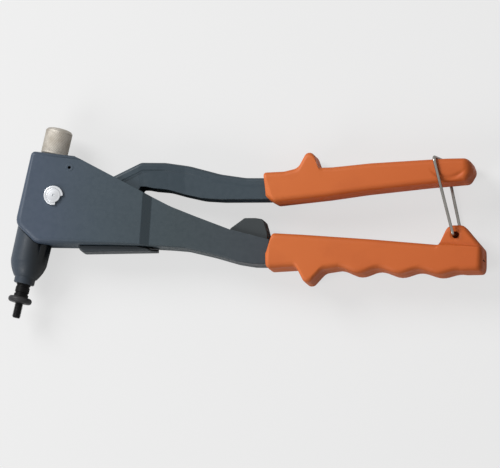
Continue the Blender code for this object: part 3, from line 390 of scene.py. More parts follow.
# colour = tone along x, mixed with the soiled tone by up to 0.35 where the blotches are strong
def mouldedVinyl(name, v):
    material, tree, shader, place = startMaterial(name, {"Metallic": 0.0, "IOR": 1.46,
            "Specular IOR Level": v["specular"]})
    split = addNode(tree, "ShaderNodeSeparateXYZ", None, {0: (place, "Object")})
    reach = addNode(tree, "ShaderNodeMapRange", None, {"Value": (split, "X"), "From Min": 0.12,
            "From Max": 0.24})
    tone = addNode(tree, "ShaderNodeMix", {"data_type": "RGBA"},
                   {0: (reach, 0), 6: linear(v["colour"]), 7: linear(v["far"])})
    blotch = addNode(tree, "ShaderNodeTexNoise", None, {"Vector": (place, "Object"),
            "Scale": perMetre(v["blotchMm"]), "Detail": 4.0})
    soil = addNode(tree, "ShaderNodeMapRange", None, {"Value": (blotch, 0), "From Min": 0.5,
            "From Max": 0.75, "To Max": 0.35})
    mixed = addNode(tree, "ShaderNodeMix", {"data_type": "RGBA"},
                    {0: (soil, 0), 6: (tone, 2), 7: linear(v["soiled"])})
    tree.links.new(mixed.outputs[2], shader.inputs["Base Color"])
    gloss = addNode(tree, "ShaderNodeMapRange", None, {"Value": (blotch, 0), "To Min": v["rough"] - 0.08,
            "To Max": v["rough"] + 0.1})
    tree.links.new(gloss.outputs[0], shader.inputs["Roughness"])
    addRelief(tree, shader, place, v["grainMm"], 2.0, 0.35, v["grainDepth"])
    return material


# Turned steel in bright zinc plate, knurled steel in dull nickel plate, drawn spring wire, bare turned
# steel and turned brass: two tones in spots, tool marks as a fine relief, and a mottled roughness
zincBright = {"colour": "#CBCDD0", "deep": "#ACAFB4", "rough": 0.3, "markMm": 0.5, "spotMm": 5.0,
              "spot": 0.35}
knurlNickel = {"colour": "#ABA69E", "deep": "#8F877C", "rough": 0.6, "markMm": 0.4, "spotMm": 7.0,
               "spot": 0.6}
wireSteel = {"colour": "#8F8D88", "deep": "#5E5C57", "rough": 0.22, "markMm": 0.3, "spotMm": 9.0,
             "spot": 0.5}
turnedSteel = {"colour": "#A7A5A0", "deep": "#77746E", "rough": 0.34, "markMm": 0.4, "spotMm": 6.0,
               "spot": 0.4}
bushBrass = {"colour": "#B9924C", "deep": "#7E5F2B", "rough": 0.33, "markMm": 0.4, "spotMm": 6.0,
             "spot": 0.4}


# colour = colour and deep mixed by the spots, roughness = rough - 0.08 to rough + 0.14 by the same spots
def platedMetal(name, v):
    material, tree, shader, place = startMaterial(name, {"Metallic": 1.0})
    spots = addNode(tree, "ShaderNodeTexNoise", None, {"Vector": (place, "Object"),
            "Scale": perMetre(v["spotMm"]), "Detail": 5.0})
    amount = addNode(tree, "ShaderNodeMapRange", None, {"Value": (spots, 0), "From Min": 0.42,
            "From Max": 0.72, "To Max": v["spot"]})
    tone = addNode(tree, "ShaderNodeMix", {"data_type": "RGBA"},
                   {0: (amount, 0), 6: linear(v["colour"]), 7: linear(v["deep"])})
    tree.links.new(tone.outputs[2], shader.inputs["Base Color"])
    rough = addNode(tree, "ShaderNodeMapRange", None, {"Value": (spots, 0), "To Min": v["rough"] - 0.08,
            "To Max": v["rough"] + 0.14})
    tree.links.new(rough.outputs[0], shader.inputs["Roughness"])
    addRelief(tree, shader, place, v["markMm"], 2.0, 0.2, 0.02)
    return material


# Black oxide on turned steel: near black with a dull shine, browner where it has rubbed thin
blackOxide = {"colour": "#08090A", "thin": "#101011", "rough": 0.46, "grainMm": 0.7, "patchMm": 5.0,
              "specular": 0.22}
stemOxide = {**blackOxide, "colour": "#050506", "thin": "#09090A", "specular": 0.12}
# the ring's lighter grey is painted light for its lit face
ringOxidePaintedLight = {**blackOxide, "colour": "#2B2B2D", "thin": "#353434"}


# colour and thin mixed by the patches, roughness = rough - 0.1 to rough + 0.12 by the same patches
def oxidisedSteel(name, v):
    material, tree, shader, place = startMaterial(name, {"Metallic": 0.1, "IOR": 1.5,
            "Specular IOR Level": v["specular"]})
    patch = addNode(tree, "ShaderNodeTexNoise", None, {"Vector": (place, "Object"),
            "Scale": perMetre(v["patchMm"]), "Detail": 4.0})
    thin = addNode(tree, "ShaderNodeMapRange", None, {"Value": (patch, 0), "From Min": 0.45,
            "From Max": 0.75})
    tone = addNode(tree, "ShaderNodeMix", {"data_type": "RGBA"},
                   {0: (thin, 0), 6: linear(v["colour"]), 7: linear(v["thin"])})
    tree.links.new(tone.outputs[2], shader.inputs["Base Color"])
    rough = addNode(tree, "ShaderNodeMapRange", None, {"Value": (patch, 0), "To Min": v["rough"] - 0.1,
            "To Max": v["rough"] + 0.12})
    tree.links.new(rough.outputs[0], shader.inputs["Roughness"])
    addRelief(tree, shader, place, v["grainMm"], 2.0, 0.2, 0.03)
    return material


# Nitrile rubber, moulded: dull, faintly mottled with bloom, a fine eroded mould texture
bumperRubber = {"colour": "#2B3033", "bloom": "#353A3C", "rough": 0.62, "grainMm": 0.7, "patchMm": 12.0}


# colour and bloom mixed by the patches, roughness = rough - 0.08 to rough + 0.1 by the same patches
def mouldedRubber(name, v):
    material, tree, shader, place = startMaterial(name, {"Metallic": 0.0, "IOR": 1.52,
            "Specular IOR Level": 0.3})
    patch = addNode(tree, "ShaderNodeTexNoise", None, {"Vector": (place, "Object"),
            "Scale": perMetre(v["patchMm"]), "Detail": 5.0})
    tone = addNode(tree, "ShaderNodeMix", {"data_type": "RGBA"},
                   {0: (patch, 0), 6: linear(v["colour"]), 7: linear(v["bloom"])})
    tree.links.new(tone.outputs[2], shader.inputs["Base Color"])
    rough = addNode(tree, "ShaderNodeMapRange", None, {"Value": (patch, 0), "To Min": v["rough"] - 0.08,
            "To Max": v["rough"] + 0.1})
    tree.links.new(rough.outputs[0], shader.inputs["Roughness"])
    addRelief(tree, shader, place, v["grainMm"], 2.0, 0.4, 0.05)
    return material


finishes = {
    "slate": bakedEnamel("slateEnamel", slateEnamel),
    "lever": bakedEnamel("leverEnamel", leverEnamel),
    "belly": bakedEnamel("bellyEnamel", bellyEnamel),
    "nose": bakedEnamel("noseEnamelWithShade", noseEnamelWithShade),
    "vinyl": mouldedVinyl("orangeVinyl", orangeVinyl),
    "zinc": platedMetal("brightZincPlate", zincBright),
    "nickel": platedMetal("dullNickelPlate", knurlNickel),
    "wire": platedMetal("drawnSpringWire", wireSteel),
    "steel": platedMetal("turnedSteel", turnedSteel),
    "brass": platedMetal("bushBrass", bushBrass),
    "oxide": oxidisedSteel("blackOxideSteel", blackOxide),
    "stem": oxidisedSteel("dullOxideSteel", stemOxide),
    "ring": oxidisedSteel("ringOxideSteelPaintedLight", ringOxidePaintedLight),
    "rubber": mouldedRubber("bumperRubber", bumperRubber),
}
nodeFinish = {
    "body_shell": "slate", "belly_cover": "belly", "nose_housing": "nose", "lever_handle": "lever",
    "lever_grip": "vinyl", "fixed_grip": "vinyl", "mandrel": "oxide", "nosepiece": "stem",
    "handle_stop": "rubber", "knob": "nickel", "pivot_stud_upper": "zinc", "pivot_stud_lower": "zinc",
    "wire_bail": "wire", "spindle_bush": "brass", "return_spring": "wire", "stop_pin": "oxide",
}
for name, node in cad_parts.items():
    node.data.materials.clear()
    node.data.materials.append(finishes[nodeFinish.get(name, "steel")])
print("finishes ready:", len(finishes))


# Smooth copies

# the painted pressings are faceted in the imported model: a merged copy shades its bends smoothly, with
# each normal weighted by the size of the faces round it, so that the flat sides stay flat
sharpFrom = 38  # degrees between two faces at which an edge stays sharp
smoothCopies = {"body_shell": ("bodyPressing", "slate"), "nose_housing": ("noseTube", "nose"),
                "handle_stop": ("handleBumper", "rubber"), "lever_handle": ("leverArms", "lever")}


# a node's mesh with its double points merged and its flat neighbours joined
def smoothCopy(node, name, finish):
    work = bmesh.new()
    work.from_mesh(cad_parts[node].data)
    bmesh.ops.remove_doubles(work, verts=work.verts, dist=2e-6)
    bmesh.ops.dissolve_limit(work, angle_limit=math.radians(0.2), verts=work.verts, edges=work.edges)
    bmesh.ops.recalc_face_normals(work, faces=work.faces)
    mesh = bpy.data.meshes.new(name)
    work.to_mesh(mesh)
    work.free()
    mesh.shade_smooth()
    mesh.set_sharp_from_angle(angle=math.radians(sharpFrom))
    mesh.materials.append(finishes[finish])
    piece = bpy.data.objects.new(name, mesh)
    bpy.context.scene.collection.objects.link(piece)
    weighted = piece.modifiers.new("weightedNormals", "WEIGHTED_NORMAL")
    weighted.keep_sharp = True
    weighted.weight = 80
    return piece


for node, (name, finish) in smoothCopies.items():
    piece = smoothCopy(node, name, finish)
    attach(piece, "lever" if finish == "lever" else "body")
    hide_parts(node)
print("smooth copies ready")


# Grips

# rows run along the grip, from its lower to its upper outline; each row is a rounded rectangle
gripSection = {"arcSteps": 7, "faceSteps": 44, "edgeSteps": (-0.6, -0.05, -0.018, 0.0, 0.018, 0.05, 0.6),
               "edgeRadius": 2.9, "crown": 0.15, "flash": 0.1}
leverGrip = {
    "outline": [(120.3, -2.6, 2.4), (125.6, -5.6, 3.0), (155.1, -2.8, 60), (176.5, -0.1, 60),
                (211.0, 3.1, 60),
                (234.0, 4.7, 4.2), (238.1, 10.2, 4.2), (235.4, 17.4, 4.8), (222.3, 17.4, 40),
                (179.7, 15.5, 80),
                (158.0, 13.6, 6.0), (149.9, 13.5, 3.0), (145.8, 26.8, 3.0), (138.5, 13.5, 6.0),
                (130.7, 11.7, 8), (118.7, 11.3, 1.6)],
    "start": (119.4, 4.0), "end": (237.6, 11.0), "halfWidth": 12.5, "rows": 520, "endRound": (2.6, 6.0),
}


# outline to paired rows: the chain below and the chain above, from the start point to the end point
def splitOutline(outline, start, end, rows):
    first = np.argmin(np.linalg.norm(outline - np.asarray(start), axis=1))
    outline = np.roll(outline, -first, axis=0)
    last = np.argmin(np.linalg.norm(outline - np.asarray(end), axis=1))
    below = outline[:last + 1]
    above = np.vstack([outline[last:], outline[:1]])[::-1]
    return respaced(below, rows, (1.0, 0.35)), respaced(above, rows, (1.0, 0.35))


# the section's unit ring: a flat part and a corner part for the height, and the same for the width
def sectionRing(v):
    arc = np.linspace(0, np.pi / 2, v["arcSteps"])
    face = np.linspace(1, -1, v["faceSteps"] + 2)[1:-1]
    edge = np.asarray(v["edgeSteps"])
    one = np.ones
    quarter = [(one(len(arc)) * sy, one(len(arc)) * sz, np.cos(a), np.sin(a)) for sy, sz, a in (
        (1, 1, arc), (-1, 1, np.pi / 2 + arc), (-1, -1, np.pi + arc), (1, -1, 1.5 * np.pi + arc))]
    faceTop = (face, one(len(face)), 0 * face, one(len(face)))
    edgeLow = (-one(len(edge)), -edge, -one(len(edge)), 0 * edge)
    faceLow = (-face, -one(len(face)), 0 * face, -one(len(face)))
    edgeHigh = (one(len(edge)), edge, one(len(edge)), 0 * edge)
    parts = [quarter[0], faceTop, quarter[1], edgeLow, quarter[2], faceLow, quarter[3], edgeHigh]
    return [np.concatenate([p[i] for p in parts]) for i in range(4)]


# y = middle + direction * (flat * (height - r) + corner * r), z likewise with the half width; the
# face is crowned by crown * (1 - (y / height)^2), and both ends close with the same round
def gripGrid(g, v, shape=None):
    outline = finer(roundedPath(g["outline"], 14), 0.4)
    below, above = splitOutline(outline, g["start"], g["end"], g["rows"])
    middle, reach = (below + above) / 2, (above - below) / 2
    height = np.linalg.norm(reach, axis=1)
    lean = reach / np.maximum(height, 1e-6)[:, None]
    lean[height < 1e-3] = (0, 1)
    r = np.minimum(v["edgeRadius"], height)[:, None]
    width = np.full(len(middle), g["halfWidth"])
    for depth, bend in ((middle[:, 0] - middle[0, 0], g["endRound"][0]),
                        (middle[-1, 0] - middle[:, 0], g["endRound"][1])):
        width -= bend * (1 - np.sqrt(1 - (1 - np.clip(depth / bend, 0, 1)) ** 2))
    flatY, flatZ, cornerY, cornerZ = sectionRing(v)
    up = flatY * (height[:, None] - r) + cornerY * r
    out = flatZ * (width[:, None] - r) + cornerZ * r
    share = up / np.maximum(height[:, None], 1e-6)
    out = out + np.sign(cornerZ) * (np.abs(cornerZ) > 0.99) * v["crown"] * (1 - share ** 2)
    seam = np.exp(-(out / 0.35) ** 2) * (np.abs(cornerY) > 0.99) * v["flash"] * np.clip(height[:, None] / 3,
            0, 1)
    up = up + np.sign(cornerY) * seam
    x = middle[:, :1] + lean[:, :1] * up
    y = middle[:, 1:] + lean[:, 1:] * up
    if shape is not None:
        out = shape(x, y, out)
    return np.stack([x, y, midZ + out], -1)


# the upper grip's face: a shallow curved thumb groove near its end
thumbGroove = {"middle": (223.6, 6.3), "half": 8.5, "rise": 0.045, "depth": 0.75, "width": 1.3}


# out minus depth * exp(-(distance from the groove's curve / width)^2), faded out along x
def leverGripFace(x, y, out):
    g = thumbGroove
    curve = g["middle"][1] + g["rise"] * (x - g["middle"][0]) ** 2
    window = smoothStep(1.6 - np.abs(x - g["middle"][0]) / g["half"] * 1.2)
    groove = np.exp(-((y - curve) / g["width"]) ** 2) * window * g["depth"]
    return out - np.sign(out) * groove * (np.abs(out) > 9)


grip = makePiece("leverGripMoulding", gripGrid(leverGrip, gripSection, leverGripFace), "lever",
                 finishes["vinyl"])
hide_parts("lever_grip")

fixedGrip = {
    "fingers": {"first": 172.4, "pitch": 22.8, "count": 3, "depth": 3.2, "fade": 0.4, "line": -43.0,
                "fall": 0.045},
    "before": [(120.0, -43.0, 2.8), (137.3, -42.3, 3.0), (143.0, -53.7, 3.2), (151.8, -44.2, 6.0)],
    "after": [(232.0, -46.4, 10), (242.8, -46.4, 2.4), (242.8, -33.2, 1.8), (241.8, -31.9, 1.2),
              (237.5, -26.8, 6.0),
              (232.1, -20.2, 5.0), (223.1, -20.2, 5.0), (217.9, -31.3, 1.6), (178.8, -27.4, 80),
              (141.0, -24.2, 60),
              (123.8, -23.0, 2.2), (119.8, -35.0, 4.0)],
    "start": (119.7, -34.4), "end": (242.8, -40.0), "halfWidth": 12.5, "rows": 560, "endRound": (2.6, 3.6),
    "lugHalf": 10.5, "ridge": [(216.0, -31.2), (243.0, -33.4)],
    "hole": lugHole, "holeRadius": 2.0, "boreRadius": 2.05, "boreDepth": 30.0, "boreFrom": 4.4,
    "lugFrom": 212.0, "lugFade": 4.0, "ridgeFade": 1.1, "dish": 0.5, "dishWidth": 0.8,
}


# the underside: a falling line, minus height * (1 - cos(finger turn)) / 2 for each finger's swell
def fingerLine(f):
    start = f["first"] - f["pitch"] / 2
    x = np.linspace(start, f["first"] + (f["count"] - 0.5) * f["pitch"], 12 * f["count"] + 1)
    finger = (x - start) / f["pitch"]
    height = f["depth"] - f["fade"] * np.floor(np.minimum(finger, f["count"] - 1))
    y = f["line"] - f["fall"] * (x - start) - height * (1 - np.cos(2 * np.pi * finger)) / 2
    return np.stack([x, y, 0 * x], -1).tolist()


# above the ridge line the lug's faces stand back from the grip's own
def fixedGripFace(x, y, out):
    (x0, y0), (x1, y1) = fixedGrip["ridge"]
    above = y - (y0 + (y1 - y0) * (x - x0) / (x1 - x0))
    g = fixedGrip
    lug = smoothStep(above / g["ridgeFade"]) * smoothStep((x - g["lugFrom"]) / g["lugFade"])
    narrow = fixedGrip["lugHalf"] / fixedGrip["halfWidth"]
    out = out * (1 - (1 - narrow) * lug)
    away = np.hypot(x - fixedGrip["hole"][0], y - fixedGrip["hole"][1])
    dish = g["dish"] * np.exp(-((away - g["holeRadius"]) / g["dishWidth"]) ** 2) * (np.abs(out) > 8)
    return out - np.sign(out) * dish


outline = fixedGrip["before"] + fingerLine(fixedGrip["fingers"]) + fixedGrip["after"]
grip = makePiece("fixedGripMoulding", gripGrid({**fixedGrip, "outline": outline}, gripSection,
                                               fixedGripFace), "body", finishes["vinyl"])
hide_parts("fixed_grip")
# one blind bore from each face, deeper than the wire's ends reach
borerProfile = np.array([(0.0, fixedGrip["boreRadius"]), (fixedGrip["boreDepth"], fixedGrip["boreRadius"])])
for number, side in enumerate((1, -1)):
    start = np.array([*lugHole, midZ + side * fixedGrip["boreFrom"]])
    grid = turnedGrid(borerProfile, 48, start, upward * side, np.array([1.0, 0, 0]))
    borer = makePiece("bailHoleBorer" + str(number), grid, "body", finishes["vinyl"])
    hole = grip.modifiers.new("bailHole", "BOOLEAN")
    hole.operation = "DIFFERENCE"
    hole.solver = "EXACT"
    hole.object = borer
    bpy.context.view_layer.update()
    bored = bpy.data.meshes.new_from_object(grip.evaluated_get(bpy.context.evaluated_depsgraph_get()))
    grip.modifiers.clear()
    grip.data = bored
    bpy.data.objects.remove(borer)
grip.data.set_sharp_from_angle(angle=math.radians(40))
print("grips ready")


# Lever

# the visible part of the pressed lever: a channel open below, carried along x between its lower and
# upper edges, with a raised rim along the top and a pressed-in face that fades out behind the head
leverPress = {
    "top": [(29.5, 8.4, 0), (33.9, 10.8, 0), (49.5, 18.2, 5.0), (63.0, 18.0, 12.0), (76.5, 16.0, 40.0),
            (94.4, 11.0, 30.0),
            (108.7, 8.7, 30.0), (119.0, 8.5, 0), (121.5, 8.6, 0)],
    "bottom": [(29.5, -3.0, 0), (44.0, -3.5, 3.0), (48.9, 4.7, 1.0), (52.0, 4.6, 0), (56.0, 3.8, 8.0),
               (64.4, 2.9, 20.0), (73.5, 0.2, 30.0),
               (84.0, -2.3, 30.0), (95.0, -3.1, 20.0), (118.5, -3.4, 0), (121.5, -3.4, 0)],
    "width": [(29.0, 10.7), (48.0, 10.7), (74.0, 8.6), (130.0, 8.6)],
    "skin": 0.06, "wall": 2.4, "bend": 1.9, "lip": 0.35, "rows": 300, "faceSteps": 64, "rimWidth": 4.5,
              "rimRise": (0.2, 0.5, 0.2),
    "recess": 1.05, "rimFlank": (0.4, 1.4),
    # where along x each of these starts, or for the recess ends, and over what length
    "rimGrows": (48.0, 10.0), "rimFades": (66.0, 34.0), "flankWidens": (47.0, 25.0), "recessFades": (68.0, 24.0),
}


# height above the cheek: the rim's rise close to the top edge, and below it a recess that fades out
def leverRelief(v, x, below):
    # 0 to 1 over the named stretch of x, or backwards from its end
    def ramp(key, way=1):
        return smoothStep(way * (x - v[key][0]) / v[key][1])

    early, middle, late = v["rimRise"]
    rise = early + (middle - early) * ramp("rimGrows") + (late - middle) * ramp("rimFades")
    flank = v["rimFlank"][0] + v["rimFlank"][1] * ramp("flankWidens")
    inside = smoothStep((below - v["rimWidth"]) / flank + 0.5)
    recess = v["recess"] * ramp("recessFades", -1)
    return rise * (1 - inside) - recess * inside


# the section runs up the near cheek, over the bend, down the far cheek, round its lip, up inside and
# back down: outside points carry the relief, inside points lie one wall further in
def leverGrid(v):
    top = finer(roundedPath(v["top"], 12, closed=False), 0.3)
    bottom = finer(roundedPath(v["bottom"], 12, closed=False), 0.3)
    x = np.linspace(v["top"][0][0], v["top"][-1][0], v["rows"])[:, None]
    high = np.interp(x, top[:, 0], top[:, 1]) + v["skin"]
    low = np.interp(x, bottom[:, 0], bottom[:, 1]) - v["skin"]
    width = np.interp(x, *np.array(v["width"]).T) + v["skin"]
    wall, bend, lip = v["wall"] + 2 * v["skin"], v["bend"], v["lip"]
    slope = np.gradient(high[:, 0], x[:, 0])[:, None]
    lean = 1 / np.sqrt(1 + slope ** 2)
    up = np.linspace(0, 1, v["faceSteps"])[None]
    arc = np.linspace(0, np.pi / 2, 8)[None, 1:]
    cheekY = low + lip + (high - bend / lean - low - lip) * up
    cheekZ = width + leverRelief(v, x, (high - cheekY) * lean)
    edgeRise = leverRelief(v, x, 0 * x)
    bendY = high - bend / lean + bend / lean * np.sin(arc)
    bendZ = width - bend + (bend + edgeRise) * np.cos(arc)
    lipY = low + lip - lip * np.sin(arc)
    lipZ = cheekZ[:, :1] - lip + lip * np.cos(arc)
    across = np.linspace(1, -1, 12)[None, 1:-1]
    y = [cheekY, bendY, high + 0 * across, bendY[:, ::-1], cheekY[:, ::-1], lipY, low + 0 * x,
         low + lip + (high - wall / lean - low - lip) * up,
         high - wall / lean + 0 * x, low + lip + (high - wall / lean - low - lip) * up[:, ::-1],
         low + 0 * x, lipY[:, ::-1]]
    inner = width - wall
    z = [cheekZ, bendZ, (width - bend) * across, -bendZ[:, ::-1], -cheekZ[:, ::-1], -lipZ, -inner + 0 * x,
         -inner + 0 * up, 0 * x, inner + 0 * up,
         inner + 0 * x, lipZ[:, ::-1]]
    y, z = np.concatenate(y, 1), np.concatenate(z, 1)
    return np.stack([x + 0 * y, y, midZ + z], -1)


makePiece("leverPressing", leverGrid(leverPress), "lever", finishes["lever"], sharpAngle=42)
print("lever ready")


# Belly cover

bellyPress = {"start": 13.1, "end": 57.1, "bottom": -31.5, "half": 6.8,
              "seat": [(10.0, -27.4), (32.0, -28.0), (50.0, -28.7), (66.6, -29.9)],
              "wall": 1.1, "round": 1.3, "slope": 3.6, "cutback": 11.0, "cutEnd": 3.2}


# a shallow tray: the section is a rounded U (seat, near wall, bottom, far wall, seat), its depth grows
# from the nose end as sin of the way down the slope, and the near wall ends early, on a curve
def bellyGrid(v):
    arc = np.linspace(0, np.pi / 2, 8)
    r = v["round"]
    down = np.linspace(0, 1, 8)[:-1]
    flat = np.linspace(1, -1, 16)[1:-1]
    # y as share of the straight depth and of the round, z as share of the flat half and of the round
    straight = np.concatenate([down, 1 + 0 * arc, 1 + 0 * flat, 1 + 0 * arc, down[::-1]])
    curl = np.concatenate([0 * down, np.sin(arc), 1 + 0 * flat, np.sin(arc[::-1]), 0 * down])
    flatZ = np.concatenate([1 + 0 * down, 1 + 0 * arc, flat, -1 + 0 * arc, -1 + 0 * down])
    curlZ = np.concatenate([1 + 0 * down, np.cos(arc), 0 * flat, -np.cos(arc[::-1]), -1 + 0 * down])
    near = np.clip((flatZ + curlZ * 0.2), 0, 1)
    seatDepth = straight * 0.6 + curl * 0.4
    nearWall = v["cutEnd"] + (v["cutback"] - v["cutEnd"]) * (1 - seatDepth) ** 1.6
    end = v["end"] - np.where(flatZ + curlZ > 1.2, nearWall, v["cutEnd"] * smoothStep(near))
    share = np.linspace(0, 1, 90)[:, None] ** 1.15
    x = v["start"] + (end[None] - v["start"]) * share
    seat = np.interp(x, *np.array(v["seat"]).T) - 0.3
    way = np.clip((x - v["start"]) / v["slope"], 0, 1)
    depth = (seat - v["bottom"]) * np.sqrt(1 - (1 - way) ** 2)
    depth = np.maximum(depth, 0.05)
    bendRadius = np.minimum(r, depth)
    half = v["half"] - 1.2 * (1 - np.sqrt(1 - (1 - np.clip((x - v["start"]) / 1.2, 0, 1)) ** 2))
    y = seat - straight[None] * (depth - bendRadius) - curl[None] * bendRadius
    z = flatZ[None] * (half - bendRadius) + curlZ[None] * bendRadius
    return np.stack([x, y, midZ + z], -1)


# an open sheet from a grid whose columns aren't joined
def makeSheet(name, grid, body, materials):
    rows, columns = grid.shape[:2]
    index = np.arange(rows * columns).reshape(rows, columns)
    faces = np.stack([index[:-1, :-1], index[:-1, 1:], index[1:, 1:], index[1:, :-1]], -1).reshape(-1, 4)
    mesh = bpy.data.meshes.new(name)
    mesh.from_pydata((grid.reshape(-1, 3) * mm).tolist(), [], faces.tolist())
    mesh.shade_smooth()
    piece = bpy.data.objects.new(name, mesh)
    bpy.context.scene.collection.objects.link(piece)
    for material in materials:
        mesh.materials.append(material)
    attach(piece, body)
    return piece


# the inside of the cover takes the black oxide finish: painted shade, a dark sheet in the hollow behind the open
# end
belly = makeSheet("bellyPressing", bellyGrid(bellyPress), "body",
                  [finishes["belly"], finishes["oxide"]])
sheetWall = belly.modifiers.new("wall", "SOLIDIFY")
sheetWall.thickness = bellyPress["wall"] * mm
sheetWall.offset = -1.0
sheetWall.use_rim = True
sheetWall.material_offset = 1
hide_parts("belly_cover")
print("belly cover ready")


# Turned pieces

knobShape = {"base": 84.9, "length": 13.4, "radius": 7.6, "bore": 2.4, "boreDepth": 9.0, "foot": 0.5,
             "edge": 0.6, "dome": 1.5,
             "skirt": 0.85, "skirtBore": 5.6, "knurls": 42, "knurlDepth": 0.2, "pinRadius": 1.35,
             "pinAlong": 4.4}


# turned profile with a domed end; the barrel is cut by two crossed sets of helical grooves, each a
# triangle wave of angle * count +- along * pitch, deepest where the two meet
def knurledKnob(v):
    base, top = v["base"], v["base"] + v["length"]
    t = np.linspace(0, np.pi / 2, 12)[:-1]
    rim = v["radius"] - v["edge"]
    dome = np.stack([top + v["dome"] * np.sin(t), rim * np.cos(t)], -1)
    low = base - v["skirt"]
    wall = np.array([(base + v["boreDepth"], v["bore"]), (base, v["bore"]), (base, v["skirtBore"]),
                     (low, v["skirtBore"]),
                     (low, v["radius"] - v["foot"]), (low + v["foot"], v["radius"]),
                     (top - v["edge"], v["radius"])])
    profile = finer(np.vstack([wall, dome]), 0.17)

    # minus (grooves * depth + the pin's well), on the outside only
    def knurl(far, turn):
        lead = v["knurls"] / v["radius"]
        one = np.abs(((turn * v["knurls"] + far * lead) / (2 * np.pi)) % 1 - 0.5) * 2
        two = np.abs(((turn * v["knurls"] - far * lead) / (2 * np.pi)) % 1 - 0.5) * 2
        cut = np.maximum(smoothStep((one - 0.45) / 0.5), smoothStep((two - 0.45) / 0.5))
        barrel = smoothStep((far - base - 0.2) / 0.5) * smoothStep((top - 1.1 - far) / 0.5)
        outside = (profile[:, 1] > v["radius"] - 0.1)[:, None]
        side = np.abs((turn - 0.5 * np.pi + np.pi) % (2 * np.pi) - np.pi) * v["radius"]
        well = 0.75 * smoothStep((v["pinRadius"] - np.hypot(side, far - base - v["pinAlong"])) / 0.3)
        return -(cut * barrel * v["knurlDepth"] * (1 - smoothStep(well * 3)) + well) * outside

    return turnedGrid(profile, 432, swell=knurl)


knob = makePiece("knurledKnob", knurledKnob(knobShape), "knob", finishes["nickel"],
                 sharpAngle=60)
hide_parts("knob")

rodShape = {"tip": -10.3, "radius": 2.42, "pitch": 0.8, "threadDepth": 0.42, "threadEnd": 24.0,
            "guide": 3.2, "head": 4.1, "end": 65.8}


# a plain rod profile; the thread lowers the radius by depth * (1 - triangle wave of along / pitch +
# turn / full turn), so its crest climbs one pitch in a turn
def pullRod(v):
    profile = np.array([(v["tip"], 0.6), (v["tip"], v["radius"] - 0.5), (v["tip"] + 0.5, v["radius"]),
                        (48.0, v["radius"]), (49.5, v["guide"]),
                        (59.5, v["guide"]), (59.5, v["head"]), (v["end"], v["head"]), (v["end"], 2.2)])
    profile = np.vstack([finer(profile[:4], 0.1), profile[4:]])

    # minus depth * the smoothed wave, faded out at the thread's end
    def thread(far, turn):
        wave = np.abs(((far - v["tip"]) / v["pitch"] + turn / (2 * np.pi)) % 1 - 0.5) * 2
        ends = smoothStep(v["threadEnd"] - far) * (profile[:, 1] > 2.0)[:, None]
        return -v["threadDepth"] * smoothStep((wave - 0.1) / 0.8) * ends

    return turnedGrid(profile, 40, swell=thread)


rod = makePiece("threadedPullRod", pullRod(rodShape), "mandrel", finishes["oxide"],
                sharpAngle=70)
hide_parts("mandrel")

noseShape = {"half": 1.75, "ring": 6.75, "stem": 4.0, "bore": 2.7, "end": 18.0}


# ring, stem and shank as one bored profile that closes on itself
def nosepieceGrid(v):
    corners = [(-v["half"], v["bore"] + 0.35, 0), (-v["half"], v["ring"], 1.6), (v["half"], v["ring"], 1.6),
               (v["half"], v["stem"] + 0.1, 0.4),
               (3.3, v["stem"] + 0.1, 0.1), (3.5, v["stem"] - 0.4, 0.1), (4.2, v["stem"] - 0.4, 0.1),
               (4.4, v["stem"], 0.1), (7.4, v["stem"], 0.1),
               (7.6, v["stem"] - 0.35, 0.1), (8.3, v["stem"] - 0.35, 0.1), (8.5, v["stem"], 0.1),
               (v["end"], v["stem"], 0), (v["end"], v["bore"], 0),
               (-v["half"] + 0.35, v["bore"], 0)]
    return turnedGrid(finer(roundedPath(corners, 8), 0.5), 72)


tip = makePiece("nosepieceTurned", nosepieceGrid(noseShape), "body", finishes["ring"],
                wrapRows=True, sharpAngle=50)
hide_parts("nosepiece")
# the ring takes the lighter grey oxide, painted light for its lit face, and faces past the ring take the second
# finish, the darker, less glossy stem oxide
tip.data.materials.append(finishes["stem"])
middles = np.empty(3 * len(tip.data.polygons))
tip.data.polygons.foreach_get("center", middles)
past = (middles.reshape(-1, 3) / mm - ringMiddle) @ along > noseShape["half"] + 0.05
tip.data.polygons.foreach_set("material_index", past.astype(np.int32))

studShape = {"inner": 8.0, "shank": 3.6, "under": 13.3, "pin": 4.05, "ring": 5.5, "ringTop": 14.45,
             "top": 14.8, "mark": 0.8,
             "markDepth": 0.7, "crown": 0.12, "gapAt": -41.0, "gapHalf": 36.0}


# a flat shank, a clip ring that is open on one side, and the pin's crowned face with its centre mark;
# in the ring's gap the radius falls back to the pin's
def studGrid(v, side):
    corners = np.array([(v["inner"], v["shank"] - 0.4, 0), (v["inner"] + 0.4, v["shank"], 0),
                        (v["under"], v["shank"], 0),
                        (v["under"], v["ring"], 0.2), (v["ringTop"], v["ring"], 0.35),
                        (v["ringTop"], v["pin"] + 0.12, 0),
                        (v["ringTop"] - 0.1, v["pin"] + 0.06, 0), (v["ringTop"] - 0.1, v["pin"], 0),
                        (v["top"], v["pin"], 0.4), (v["top"], 3.0, 0)])
    r = np.linspace(2.9, 0.05, 40)
    height = v["top"] + v["crown"] * (1 - (r / 3.0) ** 2) - v["markDepth"] * smoothStep((v["mark"] - r) / 0.4)
    face = np.stack([height, r], -1)
    profile = finer(np.vstack([roundedPath(corners, 8, closed=False), face]), 0.4)

    # minus what stands past the pin's radius, within half the gap's angle
    def gap(far, turn):
        off = np.abs((np.degrees(turn) - v["gapAt"] + 180) % 360 - 180)
        openShare = smoothStep((v["gapHalf"] - off) / 4.0 + 0.5) * (profile[:, :1] > v["under"] - 0.05)
        return -np.maximum(profile[:, 1:2] - v["pin"] - 0.02, 0) * openShare

    third = np.array([1.0, 0, 0])
    return turnedGrid(profile, 144, np.array([0, 0, midZ]), upward * side, third, gap)


for name, side in (("Upper", 1), ("Lower", -1)):
    stud = makePiece("pivotStud" + name + "Head", studGrid(studShape, side), "body",
                     finishes["zinc"], sharpAngle=40)
    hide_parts("pivot_stud_" + name.lower())

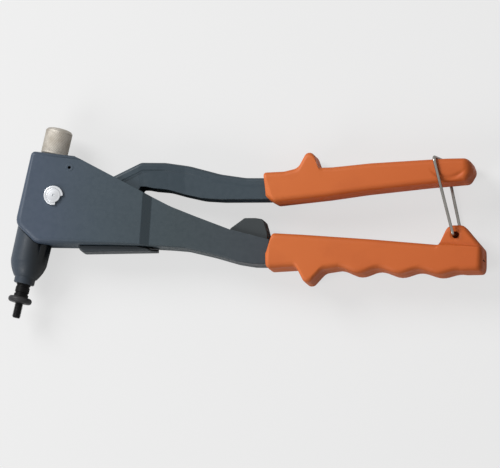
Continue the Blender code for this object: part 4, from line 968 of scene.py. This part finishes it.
pinRim = {"place": (9.0, 15.8), "bore": 0.78, "edge": 2.15, "rise": 0.12}


# the enamel that bridges the stop pin's edge: a flat bead round the pin's bore
def pinRimGrid(v, side):
    corners = [(12.9, v["bore"] + 0.1, 0), (13.0 + v["rise"], v["bore"] + 0.1, 0.1),
               (13.0 + v["rise"], v["edge"], 0.1), (12.9, v["edge"] + 0.2, 0)]
    return turnedGrid(roundedPath(corners, 5), 40, np.array([*v["place"], midZ]), upward * side,
                      np.array([1.0, 0, 0]))


for name, side in (("Upper", 1), ("Lower", -1)):
    makePiece("stopPinRim" + name, pinRimGrid(pinRim, side), "body", finishes["slate"],
              wrapRows=True)
print("turned pieces ready")


# Wire bail

bailShape = {"hinge": lugHole, "lean": 14.0, "rack": 2.3, "yaw": 4.4, "wire": 0.85, "corner": 3.0,
             "foot": 1.6, "reach": 45.397,
             "side": 13.65, "endDepth": 5.0}


# a flat square path (reach, side) with rounded bends, each point then leaned by its own angle about
# the hinge and carried sideways by the yaw
def bailPath(v):
    square = [(0, v["endDepth"], 0), (0, v["side"], v["foot"]), (v["reach"], v["side"], v["corner"]),
              (v["reach"], -v["side"], v["corner"]), (0, -v["side"], v["foot"]), (0, -v["endDepth"], 0)]
    flat = finer(roundedPath(square, 14, closed=False), 0.8)
    lean = np.radians(90.0 + v["lean"] - v["rack"] * (v["side"] - flat[:, 1]) / (2 * v["side"]))
    yaw = -flat[:, 1] * math.tan(math.radians(v["yaw"]))
    return np.stack([v["hinge"][0] + flat[:, 0] * np.cos(lean) + yaw,
                     v["hinge"][1] + flat[:, 0] * np.sin(lean), midZ + flat[:, 1]], -1)


# the path swept by the wire's radius, with the flat direction square to the mean lean
def bailGrid(v):
    lean = math.radians(90.0 + v["lean"] - v["rack"] / 2)
    flatDirection = np.array([math.sin(lean), -math.cos(lean), 0.0])
    return sweptTube(bailPath(v), v["wire"], 20, flatDirection)


bail = makePiece("bailWire", bailGrid(bailShape), "bail", finishes["wire"], sharpAngle=50)
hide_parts("wire_bail")
print("bail ready")
